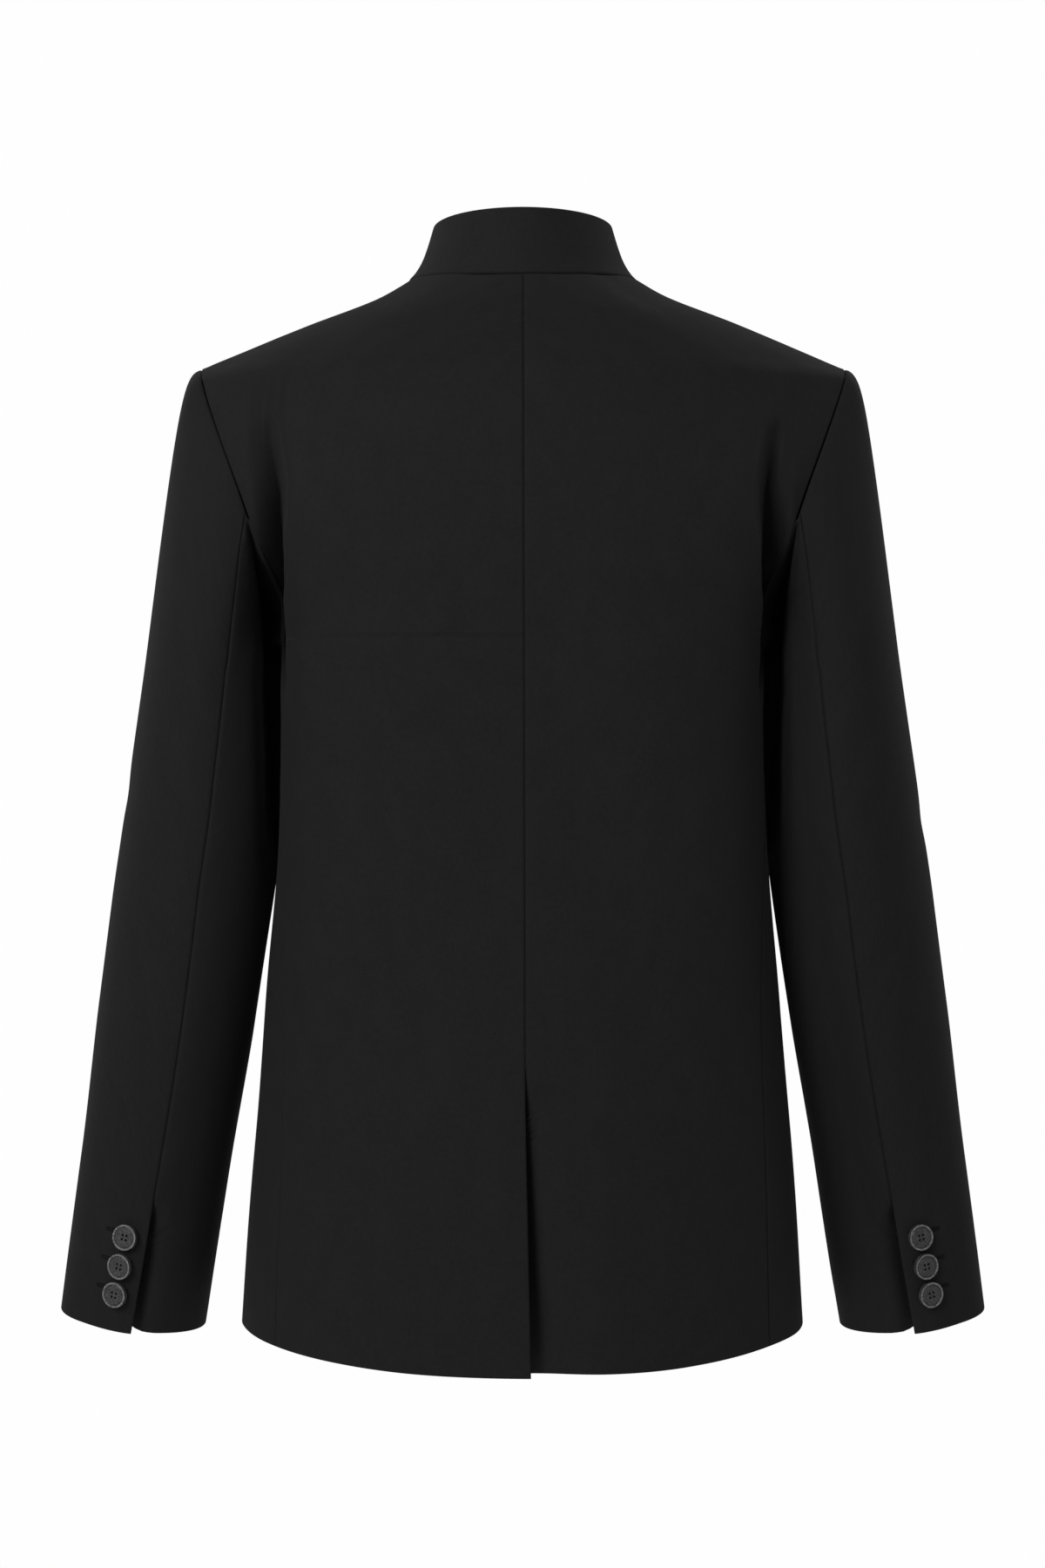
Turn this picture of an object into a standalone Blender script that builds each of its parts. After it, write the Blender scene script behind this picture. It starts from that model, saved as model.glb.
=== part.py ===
"""Stand-collar jacket with an off-centre front lap, in its worn form with nobody inside.

Metres, +Z up. The back faces -Y, the front +Y, and the wearer's right side is +X. The origin lies
midway between the two neck points, at the top of the shoulder seams, where shoulders carry it.

The body is one surface, read by an angle round it (0 at the centre back, 90 at the right side,
180 at the centre front) and by a level (the height of that ring at the side). The panels are cut
from it. The sleeves are tubes from the armhole to the cuff, read by an angle round the arm
(0 outside, 90 behind, 180 against the body, 270 in front) and by a share of their length.
"""

import math
from collections import namedtuple

import bmesh
import bpy
import numpy as np
from mathutils import Matrix

# Cloth
CLOTH_WALL = 0.0020
COLLAR_WALL = 0.0026
SEAM_GAP = 0.0003
LAP_GAP = 0.0005

# Body rings, from the hem up. A drop is how far a ring's middle lies above or below its sides. The
# powers say how square a ring is: behind, before, and at its two ends (under 2 is pointed).
Ring = namedtuple(
    "Ring",
    "name side_z back_drop front_drop half_width back_depth front_depth back_power front_power end_power",
)
RINGS = (
    Ring("hem", -0.6660, -0.0150, -0.0090, 0.1800, 0.1150, 0.1220, 2.20, 2.10, 2.15),
    Ring("hip", -0.5600, -0.0090, -0.0060, 0.1730, 0.1130, 0.1210, 2.20, 2.10, 2.20),
    Ring("waist", -0.4600, -0.0050, -0.0030, 0.1646, 0.1090, 0.1190, 2.40, 2.20, 2.40),
    Ring("ribs", -0.3600, -0.0020, 0.0000, 0.1560, 0.1080, 0.1200, 3.00, 2.30, 2.90),
    Ring("armpit", -0.2350, 0.0000, 0.0000, 0.1525, 0.1120, 0.1240, 3.60, 2.40, 3.20),
    Ring("low armhole", -0.2050, 0.0000, -0.0020, 0.1620, 0.1120, 0.1210, 3.30, 2.40, 2.80),
    Ring("mid armhole", -0.1570, 0.0000, -0.0080, 0.2000, 0.1100, 0.1150, 2.60, 2.30, 2.20),
    Ring("high armhole", -0.1050, 0.0000, -0.0280, 0.2450, 0.1040, 0.1000, 2.00, 2.10, 1.60),
    Ring("below the tip", -0.0680, 0.0010, -0.0445, 0.2360, 0.0975, 0.0840, 1.95, 2.00, 1.36),
    Ring("shoulder tip", -0.0554, 0.0015, -0.0500, 0.2057, 0.0950, 0.0780, 1.92, 1.95, 1.32),
    Ring("shoulder", -0.0290, -0.0028, -0.0600, 0.1413, 0.0900, 0.0660, 1.92, 1.95, 1.45),
    Ring("neck side", -0.0110, -0.0055, -0.0670, 0.0935, 0.0850, 0.0570, 1.96, 2.00, 1.75),
    Ring("neck", 0.0000, -0.0066, -0.0720, 0.0740, 0.0800, 0.0500, 2.00, 2.00, 2.00),
)
LEVELS = {ring.name: ring.side_z for ring in RINGS}
HEM, ARMPIT, TIP, NECK = (LEVELS[name] for name in ("hem", "armpit", "shoulder tip", "neck"))

# Armhole: how far from the middle its edge runs at each level, behind and before.
ArmholeStep = namedtuple("ArmholeStep", "level back_x front_x")
ARMHOLE = (
    ArmholeStep(ARMPIT, 0.1525, 0.1525),
    ArmholeStep(-0.2139, 0.1510, 0.1480),
    ArmholeStep(-0.1916, 0.1578, 0.1530),
    ArmholeStep(-0.1757, 0.1644, 0.1575),
    ArmholeStep(-0.1557, 0.1707, 0.1635),
    ArmholeStep(-0.1376, 0.1769, 0.1695),
    ArmholeStep(-0.1049, 0.1893, 0.1830),
    ArmholeStep(-0.0757, 0.1999, 0.1970),
    ArmholeStep(TIP, 0.2057, 0.2057),
)
ARMHOLE_LEVEL = (TIP + ARMPIT) / 2
ARMHOLE_HALF_HEIGHT = (TIP - ARMPIT) / 2

# Seams of the side panels: angles at each level, from the back and from the front.
SideSeams = namedtuple("SideSeams", "level back_angle front_angle")
SIDE_SEAMS = (
    SideSeams(HEM, 56.6, 122.0),
    SideSeams(-0.5970, 57.8, 121.0),
    SideSeams(-0.5100, 58.8, 120.0),
    SideSeams(-0.4300, 61.0, 118.0),
    SideSeams(-0.3760, 64.5, 116.0),
    SideSeams(-0.3150, 75.0, 114.0),
    SideSeams(ARMPIT, 78.0, 112.0),
)

# The drape fold that hangs from each back armhole: a crest, a sharp outer side and a trough.
FoldStep = namedtuple("FoldStep", "level crest_angle rise")
BACK_FOLD = (
    FoldStep(HEM, 55.0, 0.0000),
    FoldStep(-0.4600, 58.0, 0.0000),
    FoldStep(-0.4000, 58.5, 0.0020),
    FoldStep(-0.3300, 58.5, 0.0060),
    FoldStep(ARMPIT, 57.5, 0.0095),
    FoldStep(-0.2050, 51.5, 0.0115),
    FoldStep(-0.1570, 42.5, 0.0115),
    FoldStep(-0.1100, 38.0, 0.0045),
    FoldStep(-0.0780, 39.5, 0.0000),
    FoldStep(NECK, 41.0, 0.0000),
)
FOLD_INNER_RUN = 26.0
FOLD_OUTER_RUN = 4.0
FOLD_TROUGH_RUN = 10.0
FOLD_TROUGH_SHARE = 0.45

# Back vent: the left back laps over the right one.
VENT_TOP = -0.4880
VENT_RAMP = 0.0240
VENT_UNDERLAP = 0.0380
VENT_OVERLAP = 0.0034
VENT_HEM_DEPTH = 0.0070
VENT_FADE = 0.0500
VENT_HEM_LIFT = 0.0024

# Front lap: the right front lies over the left one, and its edge slants across the centre front.
LapEdge = namedtuple("LapEdge", "level over_edge under_edge")
FRONT_LAP = (
    LapEdge(HEM, 0.0980, 0.0300),
    LapEdge(ARMPIT, 0.0700, 0.0300),
    LapEdge(TIP, 0.0340, 0.0240),
    LapEdge(NECK, 0.0260, 0.0200),
)
LAP_RAMP = 0.0350
LAP_MARGIN = 0.0240
FRONT_LAP_GAP = 0.0009
COLLAR_LAP_RISE = 0.0008
COLLAR_LAP_SCALE = 1.1

# Collar rings, by share of its height.
CollarRing = namedtuple("CollarRing", "share half_width back_depth front_depth side_z back_drop front_drop")
COLLAR = (
    CollarRing(0.00, 0.0740, 0.0800, 0.0500, 0.0000, -0.0066, -0.0720),
    CollarRing(0.15, 0.0690, 0.0781, 0.0484, 0.0056, -0.0060, -0.0720),
    CollarRing(0.35, 0.0650, 0.0763, 0.0468, 0.0124, -0.0048, -0.0715),
    CollarRing(0.60, 0.0615, 0.0742, 0.0454, 0.0216, -0.0030, -0.0710),
    CollarRing(1.00, 0.0572, 0.0712, 0.0436, 0.0358, 0.0004, -0.0700),
)

# Sleeve rings, from the biceps to the cuff: centre, half sizes, slant of the cut and turn of the oval.
SleeveRing = namedtuple("SleeveRing", "name x y z half_across half_depth slant turn")
SLEEVE = (
    SleeveRing("biceps", 0.1980, 0.002, -0.2500, 0.0444, 0.0680, 6.0, 0.0),
    SleeveRing("above elbow", 0.2067, 0.004, -0.3450, 0.0501, 0.0630, 7.0, 4.0),
    SleeveRing("elbow", 0.2138, 0.006, -0.4020, 0.0511, 0.0590, 7.5, 8.0),
    SleeveRing("below elbow", 0.2238, 0.011, -0.4700, 0.0507, 0.0545, 7.5, 14.0),
    SleeveRing("forearm", 0.2381, 0.019, -0.5650, 0.0484, 0.0460, 7.5, 20.0),
    SleeveRing("cuff", 0.2540, 0.029, -0.6680, 0.0482, 0.0385, 8.8, 25.0),
)
CUFF_BACK_DROP = 0.0035
CAP_SHARE = 0.36
FOREARM_ANGLE = 285.0
# The hindarm seam's angle round the arm, down the sleeve.
HindarmStep = namedtuple("HindarmStep", "share angle")
HINDARM = (
    HindarmStep(0.00, 95.0),
    HindarmStep(0.18, 106.0),
    HindarmStep(0.32, 109.0),
    HindarmStep(0.46, 102.5),
    HindarmStep(0.60, 99.5),
    HindarmStep(0.80, 100.5),
    HindarmStep(1.00, 98.5),
)
HINDARM_TOP = HINDARM[0].angle
# How a sleeve leaves the armhole, outside, at the sides and at the armpit.
CAP_OUT = (0.046, 0.033, 0.012)
CAP_DOWN = (0.020, 0.050, 0.022)
CAP_SPREAD = 0.012
CAP_END_SHARE = 0.85
# The sleeve head's roll, just below the seam on the outside
HEAD_RISE = 0.0030
HEAD_PEAK = 0.050

# Cuff vent and its buttons
CUFF_VENT = 0.090
CUFF_RAMP = 0.016
CUFF_UNDERLAP = 0.016
BUTTON_COUNT = 3
BUTTON_RADIUS = 0.0085
BUTTON_HEIGHT = 0.0030
BUTTON_RIM = 0.0014
BUTTON_DISH = 0.0007
BUTTON_BEVEL = 0.0005
BUTTON_SIDES = 24
BUTTON_HOLE_RADIUS = 0.0009
BUTTON_HOLE_OFFSET = 0.0016
BUTTON_HOLE_SIDES = 6
BUTTON_SPACING = 0.0190
BUTTON_FROM_CUFF = 0.0235
BUTTON_FROM_EDGE = 0.0138
BUTTON_LIFT = 0.0006

# Grid counts. The armhole's are shared by the panels and the sleeves, so that their edges match.
BODY_ROWS_VENT = 4
BODY_ROWS_LOW = 7
BODY_ROWS_YOKE = 5
BACK_COLUMNS = (6, 2, 3)
FRONT_COLUMNS = 11
COLLAR_ROWS = 5
CAP_ROWS = 6
SLEEVE_ROWS = 10
CUFF_ROWS = 2
ARM_STEPS_BACK_HIGH = 9
ARM_STEPS_BACK_LOW = 6
ARM_STEPS_ARMPIT = 8
ARM_STEPS_FRONT_LOW = 6
ARM_STEPS_FRONT_HIGH = 8

BLACK_CLOTH = (0.013, 0.013, 0.0135, 1.0)
BUTTON_GREY = (0.035, 0.035, 0.036, 1.0)
CLOTH_ROUGHNESS = 0.85
BUTTON_ROUGHNESS = 0.35
STEP = 1e-4


def smooth_through(knots, values, at):
    """Monotone cubic through (knot, value) pairs: smooth, with no overshoot between them."""
    knots, values = np.asarray(knots, float), np.asarray(values, float)
    gaps = np.diff(knots)
    slopes = np.diff(values) / gaps
    tangents = np.zeros(len(knots))
    same = slopes[:-1] * slopes[1:] > 0
    weight_a, weight_b = 2 * gaps[1:] + gaps[:-1], gaps[1:] + 2 * gaps[:-1]
    with np.errstate(divide="ignore", invalid="ignore"):
        harmonic = (weight_a + weight_b) / (weight_a / slopes[:-1] + weight_b / slopes[1:])
    tangents[1:-1] = np.where(same, harmonic, 0.0)
    tangents[0], tangents[-1] = slopes[0], slopes[-1]
    at = np.clip(np.asarray(at, float), knots[0], knots[-1])
    i = np.clip(np.searchsorted(knots, at, side="right") - 1, 0, len(gaps) - 1)
    t = (at - knots[i]) / gaps[i]
    start = (1 + 2 * t) * (1 - t) ** 2 * values[i] + t * (1 - t) ** 2 * gaps[i] * tangents[i]
    end = t * t * (3 - 2 * t) * values[i + 1] + t * t * (t - 1) * gaps[i] * tangents[i + 1]
    return start + end


def column(table, name):
    return [getattr(row, name) for row in table]


def ease(t):
    """0 to 1 with level ends."""
    t = np.clip(t, 0.0, 1.0)
    return t * t * (3 - 2 * t)


def ring_value(name, level):
    return smooth_through(column(RINGS, "side_z"), column(RINGS, name), level)


def fold_value(name, level):
    return smooth_through(column(BACK_FOLD, "level"), column(BACK_FOLD, name), level)


def fold_height(angle, level):
    """How far the drape fold stands out of the plain back, at an angle and a level."""
    past = np.abs(angle) - fold_value("crest_angle", level)
    inner = 0.5 + 0.5 * np.cos(np.pi * np.clip(past / FOLD_INNER_RUN, -1, 0))
    drop = (1 + FOLD_TROUGH_SHARE) * ease(past / FOLD_OUTER_RUN)
    back_up = FOLD_TROUGH_SHARE * ease((past - FOLD_OUTER_RUN) / FOLD_TROUGH_RUN)
    return fold_value("rise", level) * np.where(past < 0, inner, 1 - drop + back_up)


def ring_reach(across, along, power, end_power):
    """The length of a ray to a ring whose points have across^power + along^end_power = 1."""
    reach = (across**power + along**power) ** (-1 / power)
    for _ in range(8):
        a, b = (reach * across) ** power, (reach * along) ** end_power
        reach = reach - (a + b - 1) * reach / (power * a + end_power * b)
    return reach


def body_point(angle, level):
    """A point of the body's outer surface."""
    angle, level = np.broadcast_arrays(np.asarray(angle, float), np.asarray(level, float))
    turn = np.radians(angle)
    across, along = np.sin(turn), np.cos(turn)
    behind = along > 0
    power = np.where(behind, ring_value("back_power", level), ring_value("front_power", level))
    end_power = ring_value("end_power", level)
    depth = np.where(behind, ring_value("back_depth", level), ring_value("front_depth", level))
    drop = np.where(behind, ring_value("back_drop", level), ring_value("front_drop", level))
    reach = ring_reach(np.abs(across), np.abs(along), power, end_power)
    x = ring_value("half_width", level) * across * reach
    y = -depth * along * reach - np.where(behind, fold_height(angle, level), 0.0)
    z = level + drop * (along * reach) ** 2
    return np.stack([x, y, z], axis=-1)


def body_normal(angle, level):
    turn = 0.05
    around = body_point(angle + turn, level) - body_point(angle - turn, level)
    low, high = np.maximum(level - STEP, HEM), np.minimum(level + STEP, NECK)
    up = body_point(angle, high) - body_point(angle, low)
    return unit(np.cross(around, up))


def unit(vectors):
    return vectors / np.maximum(np.linalg.norm(vectors, axis=-1, keepdims=True), 1e-12)


def square_to_seam(normals, levels, edge):
    """At the shoulder seam both panels end square to it, so that neither leans into the other."""
    normals[levels >= TIP, edge, 1] = 0.0
    return unit(normals)


def degrees_for(length, angle, level):
    """The turn round the body that covers a length of cloth at this place."""
    turn = 0.05
    covered = np.linalg.norm(body_point(angle + turn, level) - body_point(angle - turn, level), axis=-1)
    return length * 2 * turn / covered


def armhole_angle(level, side):
    """The body angle of the armhole's edge at a level, counted from the back or from the front."""
    x = smooth_through(column(ARMHOLE, "level"), column(ARMHOLE, f"{side}_x"), level)
    across = np.clip(x / ring_value("half_width", level), 0, 1)
    power, end_power = ring_value(f"{side}_power", level), ring_value("end_power", level)
    return np.degrees(np.arctan2(across, (1 - across**power) ** (1 / end_power)))


def side_seam(name, level):
    return smooth_through(column(SIDE_SEAMS, "level"), column(SIDE_SEAMS, name), level)


def armhole_level(arm_angle):
    return ARMHOLE_LEVEL + ARMHOLE_HALF_HEIGHT * np.cos(np.radians(arm_angle))


def armhole_meets(seam_angle, side):
    """The angle round the arm, from the armpit up, where a side panel's seam runs into the armhole."""
    up = np.linspace(0.0, 80.0, 801)
    return float(np.interp(-seam_angle, -armhole_angle(armhole_level(180.0 - up), side), up))


BACK_JOIN_ANGLE = 180.0 - armhole_meets(SIDE_SEAMS[-1].back_angle, "back")
FRONT_JOIN_ANGLE = 180.0 + armhole_meets(180.0 - SIDE_SEAMS[-1].front_angle, "front")
BACK_JOIN, FRONT_JOIN = armhole_level(BACK_JOIN_ANGLE), armhole_level(FRONT_JOIN_ANGLE)

# Angles round the arm where the armhole has points, behind, under and before it.
ARM_BACK_HIGH = np.linspace(0.0, HINDARM_TOP, ARM_STEPS_BACK_HIGH + 1)
ARM_BACK_LOW = np.linspace(HINDARM_TOP, BACK_JOIN_ANGLE, ARM_STEPS_BACK_LOW + 1)
ARM_ARMPIT = np.linspace(BACK_JOIN_ANGLE, FRONT_JOIN_ANGLE, ARM_STEPS_ARMPIT + 1)
ARM_FRONT_LOW = np.linspace(FRONT_JOIN_ANGLE, FOREARM_ANGLE, ARM_STEPS_FRONT_LOW + 1)
ARM_FRONT_HIGH = np.linspace(FOREARM_ANGLE, 360.0, ARM_STEPS_FRONT_HIGH + 1)


def back_edge(level):
    """Outer edge of a back panel: side seam, then armhole, then shoulder seam."""
    armhole = armhole_angle(level, "back")
    return np.where(level < BACK_JOIN, side_seam("back_angle", level), np.where(level < TIP, armhole, 90.0))


def front_edge(level):
    """Outer edge of a front panel, as back_edge."""
    armhole = 180.0 - armhole_angle(level, "front")
    return np.where(level < FRONT_JOIN, side_seam("front_angle", level), np.where(level < TIP, armhole, 90.0))


def low_shares():
    """Rows below the armhole, as shares of that height, with rows where the vent begins."""
    vent = np.linspace(HEM, VENT_TOP - 2 * VENT_RAMP, BODY_ROWS_VENT + 1)
    above = np.linspace(VENT_TOP, BACK_JOIN, BODY_ROWS_LOW + 1)
    return (np.concatenate([vent, [VENT_TOP - VENT_RAMP], above]) - HEM) / (BACK_JOIN - HEM)


def panel_levels(join, arm_angles):
    """Levels of a panel's rows, with rows at the seam's end, the shoulder tip and the neck."""
    low = HEM + (join - HEM) * low_shares()[:-1]
    yoke = np.linspace(TIP, NECK - SEAM_GAP / 2, BODY_ROWS_YOKE + 1)
    return np.concatenate([low, armhole_level(arm_angles), yoke])


BACK_LEVELS = panel_levels(BACK_JOIN, np.concatenate([ARM_BACK_LOW[::-1], ARM_BACK_HIGH[-2:0:-1]]))
FRONT_LEVELS = panel_levels(FRONT_JOIN, np.concatenate([ARM_FRONT_LOW, ARM_FRONT_HIGH[1:-1]]))


def cloth(name, points, normals, wall):
    """A closed wall of cloth: a grid of outer points, and the same grid moved in by the wall."""
    rows, columns = points.shape[:2]
    mesh = bmesh.new()
    outer = [[mesh.verts.new(p) for p in row] for row in points]
    inner = [[mesh.verts.new(p) for p in row] for row in points - normals * wall]
    for i in range(rows - 1):
        for j in range(columns - 1):
            for sheet in (outer, inner):
                mesh.faces.new((sheet[i][j], sheet[i][j + 1], sheet[i + 1][j + 1], sheet[i + 1][j]))
    ring = [(0, j) for j in range(columns)] + [(i, columns - 1) for i in range(1, rows)]
    ring += [(rows - 1, j) for j in range(columns - 2, -1, -1)] + [(i, 0) for i in range(rows - 2, 0, -1)]
    for (i, j), (k, m) in zip(ring, ring[1:] + ring[:1]):
        mesh.faces.new((outer[i][j], outer[k][m], inner[k][m], inner[i][j]))
    bmesh.ops.recalc_face_normals(mesh, faces=mesh.faces)
    return finished(name, mesh)


def finished(name, mesh):
    data = bpy.data.meshes.new(name)
    mesh.to_mesh(data)
    mesh.free()
    data.shade_smooth()
    data.set_sharp_from_angle(angle=math.radians(40))
    data.materials.append(finish(name, BLACK_CLOTH, CLOTH_ROUGHNESS))
    piece = bpy.data.objects.new(name, data)
    bpy.context.scene.collection.objects.link(piece)
    return piece


def back_columns(start, crest, edge):
    """Angles across one row: close together over the fold's sharp side."""
    foot = crest + FOLD_OUTER_RUN
    spans = ((start, crest), (crest, foot), (foot, edge))
    parts = [np.linspace(a, b, n, endpoint=False) for (a, b), n in zip(spans, BACK_COLUMNS)]
    return np.concatenate(parts + [[edge]])


def vent_edges(level):
    """Where the two backs end at the centre, as lengths to the right of it."""
    open_top = VENT_TOP - VENT_RAMP
    over = (SEAM_GAP / 2 + VENT_OVERLAP) * np.clip((open_top - level) / (open_top - HEM), 0, 1)
    under = (SEAM_GAP / 2 + VENT_UNDERLAP) * ease((open_top - level) / VENT_RAMP)
    return over - SEAM_GAP / 2, SEAM_GAP / 2 - under


def vent_depth(angle, level):
    """How far the right back lies in behind the left one."""
    begun = ease((VENT_TOP - level) / VENT_RAMP)
    lap = CLOTH_WALL + LAP_GAP
    deeper = lap + (VENT_HEM_DEPTH - lap) * (VENT_TOP - level) / (VENT_TOP - HEM)
    x = np.radians(angle) * ring_value("half_width", level)
    return begun * np.maximum(deeper, 0.0) * (1 - ease((x - VENT_OVERLAP) / VENT_FADE))


def back_angles(side):
    """Angles of a back's points, a row for each level."""
    rows = []
    for level in BACK_LEVELS:
        left_end, right_end = vent_edges(level)
        end = right_end if side > 0 else -left_end
        start = math.degrees(end / float(ring_value("half_width", level)))
        edge = float(back_edge(level))
        edge -= float(degrees_for(SEAM_GAP / 2, edge, level))
        crest = min(float(fold_value("crest_angle", level)), edge - 2 * FOLD_OUTER_RUN)
        rows.append(back_columns(start, crest, edge))
    return np.array(rows)


def back_panel(side):
    """One back: side is 1 for the right, -1 for the left."""
    angles = back_angles(side)
    grid_levels = np.repeat(BACK_LEVELS[:, None], angles.shape[1], axis=1)
    points = body_point(side * angles, grid_levels)
    normals = square_to_seam(body_normal(side * angles, grid_levels), BACK_LEVELS, -1)
    if side > 0:
        points = points - normals * vent_depth(angles, grid_levels)[..., None]
        points[0, :, 2] += VENT_HEM_LIFT * (1 - ease(points[0, :, 0] / (2 * VENT_FADE)))
    return cloth("back_right" if side > 0 else "back_left", points, normals, CLOTH_WALL)


def lap_value(name, level):
    return smooth_through(column(FRONT_LAP, "level"), column(FRONT_LAP, name), level)


def lap_shift(angle, level):
    """How the over front moves off the body, level with it: nothing before the under front's edge."""
    past_centre = np.radians(angle - 180.0) * ring_value("half_width", level)
    under = lap_value("under_edge", level)
    lift = (CLOTH_WALL + FRONT_LAP_GAP) * ease((past_centre + under + LAP_RAMP + LAP_MARGIN) / LAP_RAMP)
    level_way = body_normal(angle, level) * np.array([1.0, 1.0, 0.0])
    steep = (level_way**2).sum(-1, keepdims=True)
    return level_way / steep * lift[..., None]


def front_angles(side):
    """Angles of a front's points, a row for each level."""
    reach = lap_value("over_edge" if side > 0 else "under_edge", FRONT_LEVELS)
    ends = 180.0 + np.degrees(reach / ring_value("half_width", FRONT_LEVELS))
    edges = front_edge(FRONT_LEVELS)
    edges = edges + degrees_for(SEAM_GAP / 2, edges, FRONT_LEVELS)
    return edges[:, None] + (ends - edges)[:, None] * np.linspace(0.0, 1.0, FRONT_COLUMNS + 1)


def front_panel(side):
    """One front: the right one (1) laps over the left one (-1) past the centre front."""
    angles = front_angles(side)
    grid_levels = np.repeat(FRONT_LEVELS[:, None], angles.shape[1], axis=1)
    points = body_point(side * angles, grid_levels)
    normals = square_to_seam(body_normal(side * angles, grid_levels), FRONT_LEVELS, 0)
    if side > 0:
        points = points + lap_shift(angles, grid_levels)
    return cloth("front_right" if side > 0 else "front_left", points, normals, CLOTH_WALL)


def side_panel(side):
    """The panel under the arm, from the hem up to the bottom of the armhole."""
    first, last = SIDE_SEAMS[-1].back_angle, SIDE_SEAMS[-1].front_angle
    top_angles, tops = armhole_place(ARM_ARMPIT)
    shares = (top_angles - first) / (last - first)
    levels = HEM + (tops - HEM) * low_shares()[:, None]
    levels[-1] -= SEAM_GAP / 2
    start, end = side_seam("back_angle", levels), side_seam("front_angle", levels)
    start = start + degrees_for(SEAM_GAP / 2, start, levels)
    end = end - degrees_for(SEAM_GAP / 2, end, levels)
    angles = start + (end - start) * shares
    points, normals = body_point(side * angles, levels), body_normal(side * angles, levels)
    return cloth("side_right" if side > 0 else "side_left", points, normals, CLOTH_WALL)


def collar_point(angle, share):
    """A point of the collar's outer surface at an angle round the neck and a share of its height."""
    values = {
        name: smooth_through(column(COLLAR, "share"), column(COLLAR, name), share)
        for name in CollarRing._fields[1:]
    }
    turn = np.radians(angle)
    across, along = np.sin(turn), np.cos(turn)
    behind = along > 0
    depth = np.where(behind, values["back_depth"], values["front_depth"])
    drop = np.where(behind, values["back_drop"], values["front_drop"])
    z = values["side_z"] + drop * along**2 + SEAM_GAP
    plain = np.stack([values["half_width"] * across, -depth * along, z], axis=-1)
    lap = lap_shift(angle, np.full_like(angle, NECK)) * COLLAR_LAP_SCALE
    lapped = np.linalg.norm(lap, axis=-1) / (COLLAR_WALL + FRONT_LAP_GAP)
    plain[..., 2] += COLLAR_LAP_RISE * np.clip(lapped, 0, 1)
    return plain + lap


def collar():
    """The stand collar: one strip from under the lap, round the back, to the lap's own edge."""
    back = back_angles(1)[-1][1:-1]
    left, right = front_angles(-1)[-1][1:], front_angles(1)[-1][1:]
    turns = np.concatenate([-left[::-1], [-90.0], -back[::-1], [0.0], back, [90.0], right])
    shares = np.linspace(0.0, 1.0, COLLAR_ROWS + 1)
    angles, heights = np.meshgrid(turns, shares)
    turn, rise = 0.05, 1e-3
    around = collar_point(angles + turn, heights) - collar_point(angles - turn, heights)
    up = collar_point(angles, np.minimum(heights + rise, 1))
    up = up - collar_point(angles, np.maximum(heights - rise, 0))
    normals = unit(np.cross(around, up))
    return cloth("collar", collar_point(angles, heights), normals, COLLAR_WALL)


def armhole_place(arm_angle):
    """Body angle and level of the armhole at an angle round the arm."""
    level = armhole_level(arm_angle)
    behind = np.sin(np.radians(arm_angle)) > 0
    return np.where(behind, armhole_angle(level, "back"), 180.0 - armhole_angle(level, "front")), level


def armhole_frame(arm_angle):
    """The armhole's point and the direction in the cloth that leaves the body there."""
    turn = 0.5
    points = body_point(*armhole_place(arm_angle))
    along = body_point(*armhole_place(arm_angle + turn)) - body_point(*armhole_place(arm_angle - turn))
    normal = body_normal(*armhole_place(arm_angle))
    return points, unit(np.cross(normal, unit(along)))


def sleeve_ring_point(arm_angle, place):
    """A point of the sleeve below the cap. place runs over the rows of SLEEVE."""
    knots = np.arange(len(SLEEVE))
    value = {name: smooth_through(knots, column(SLEEVE, name), place) for name in SleeveRing._fields[1:]}
    turn, oval = np.radians(arm_angle), np.radians(value["turn"])
    p, q = value["half_across"] * np.cos(turn - oval), -value["half_depth"] * np.sin(turn - oval)
    across = p * np.cos(oval) + q * np.sin(oval)
    deep = -p * np.sin(oval) + q * np.cos(oval)
    slant = np.radians(value["slant"])
    cuff = np.clip(place - (len(SLEEVE) - 2), 0, 1)
    dip = -CUFF_BACK_DROP * cuff * np.clip(np.sin(turn), 0, 1)
    x = value["x"] + across * np.cos(slant)
    return np.stack([x, value["y"] + deep, value["z"] + across * np.sin(slant) + dip], axis=-1)


def by_side(values, arm_angle):
    """A value given outside, at the sides and at the armpit, at any angle round the arm."""
    outside, sides, armpit = values
    lift = np.cos(np.radians(arm_angle))
    return sides + np.where(lift > 0, (outside - sides) * lift, (sides - armpit) * lift)


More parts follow.
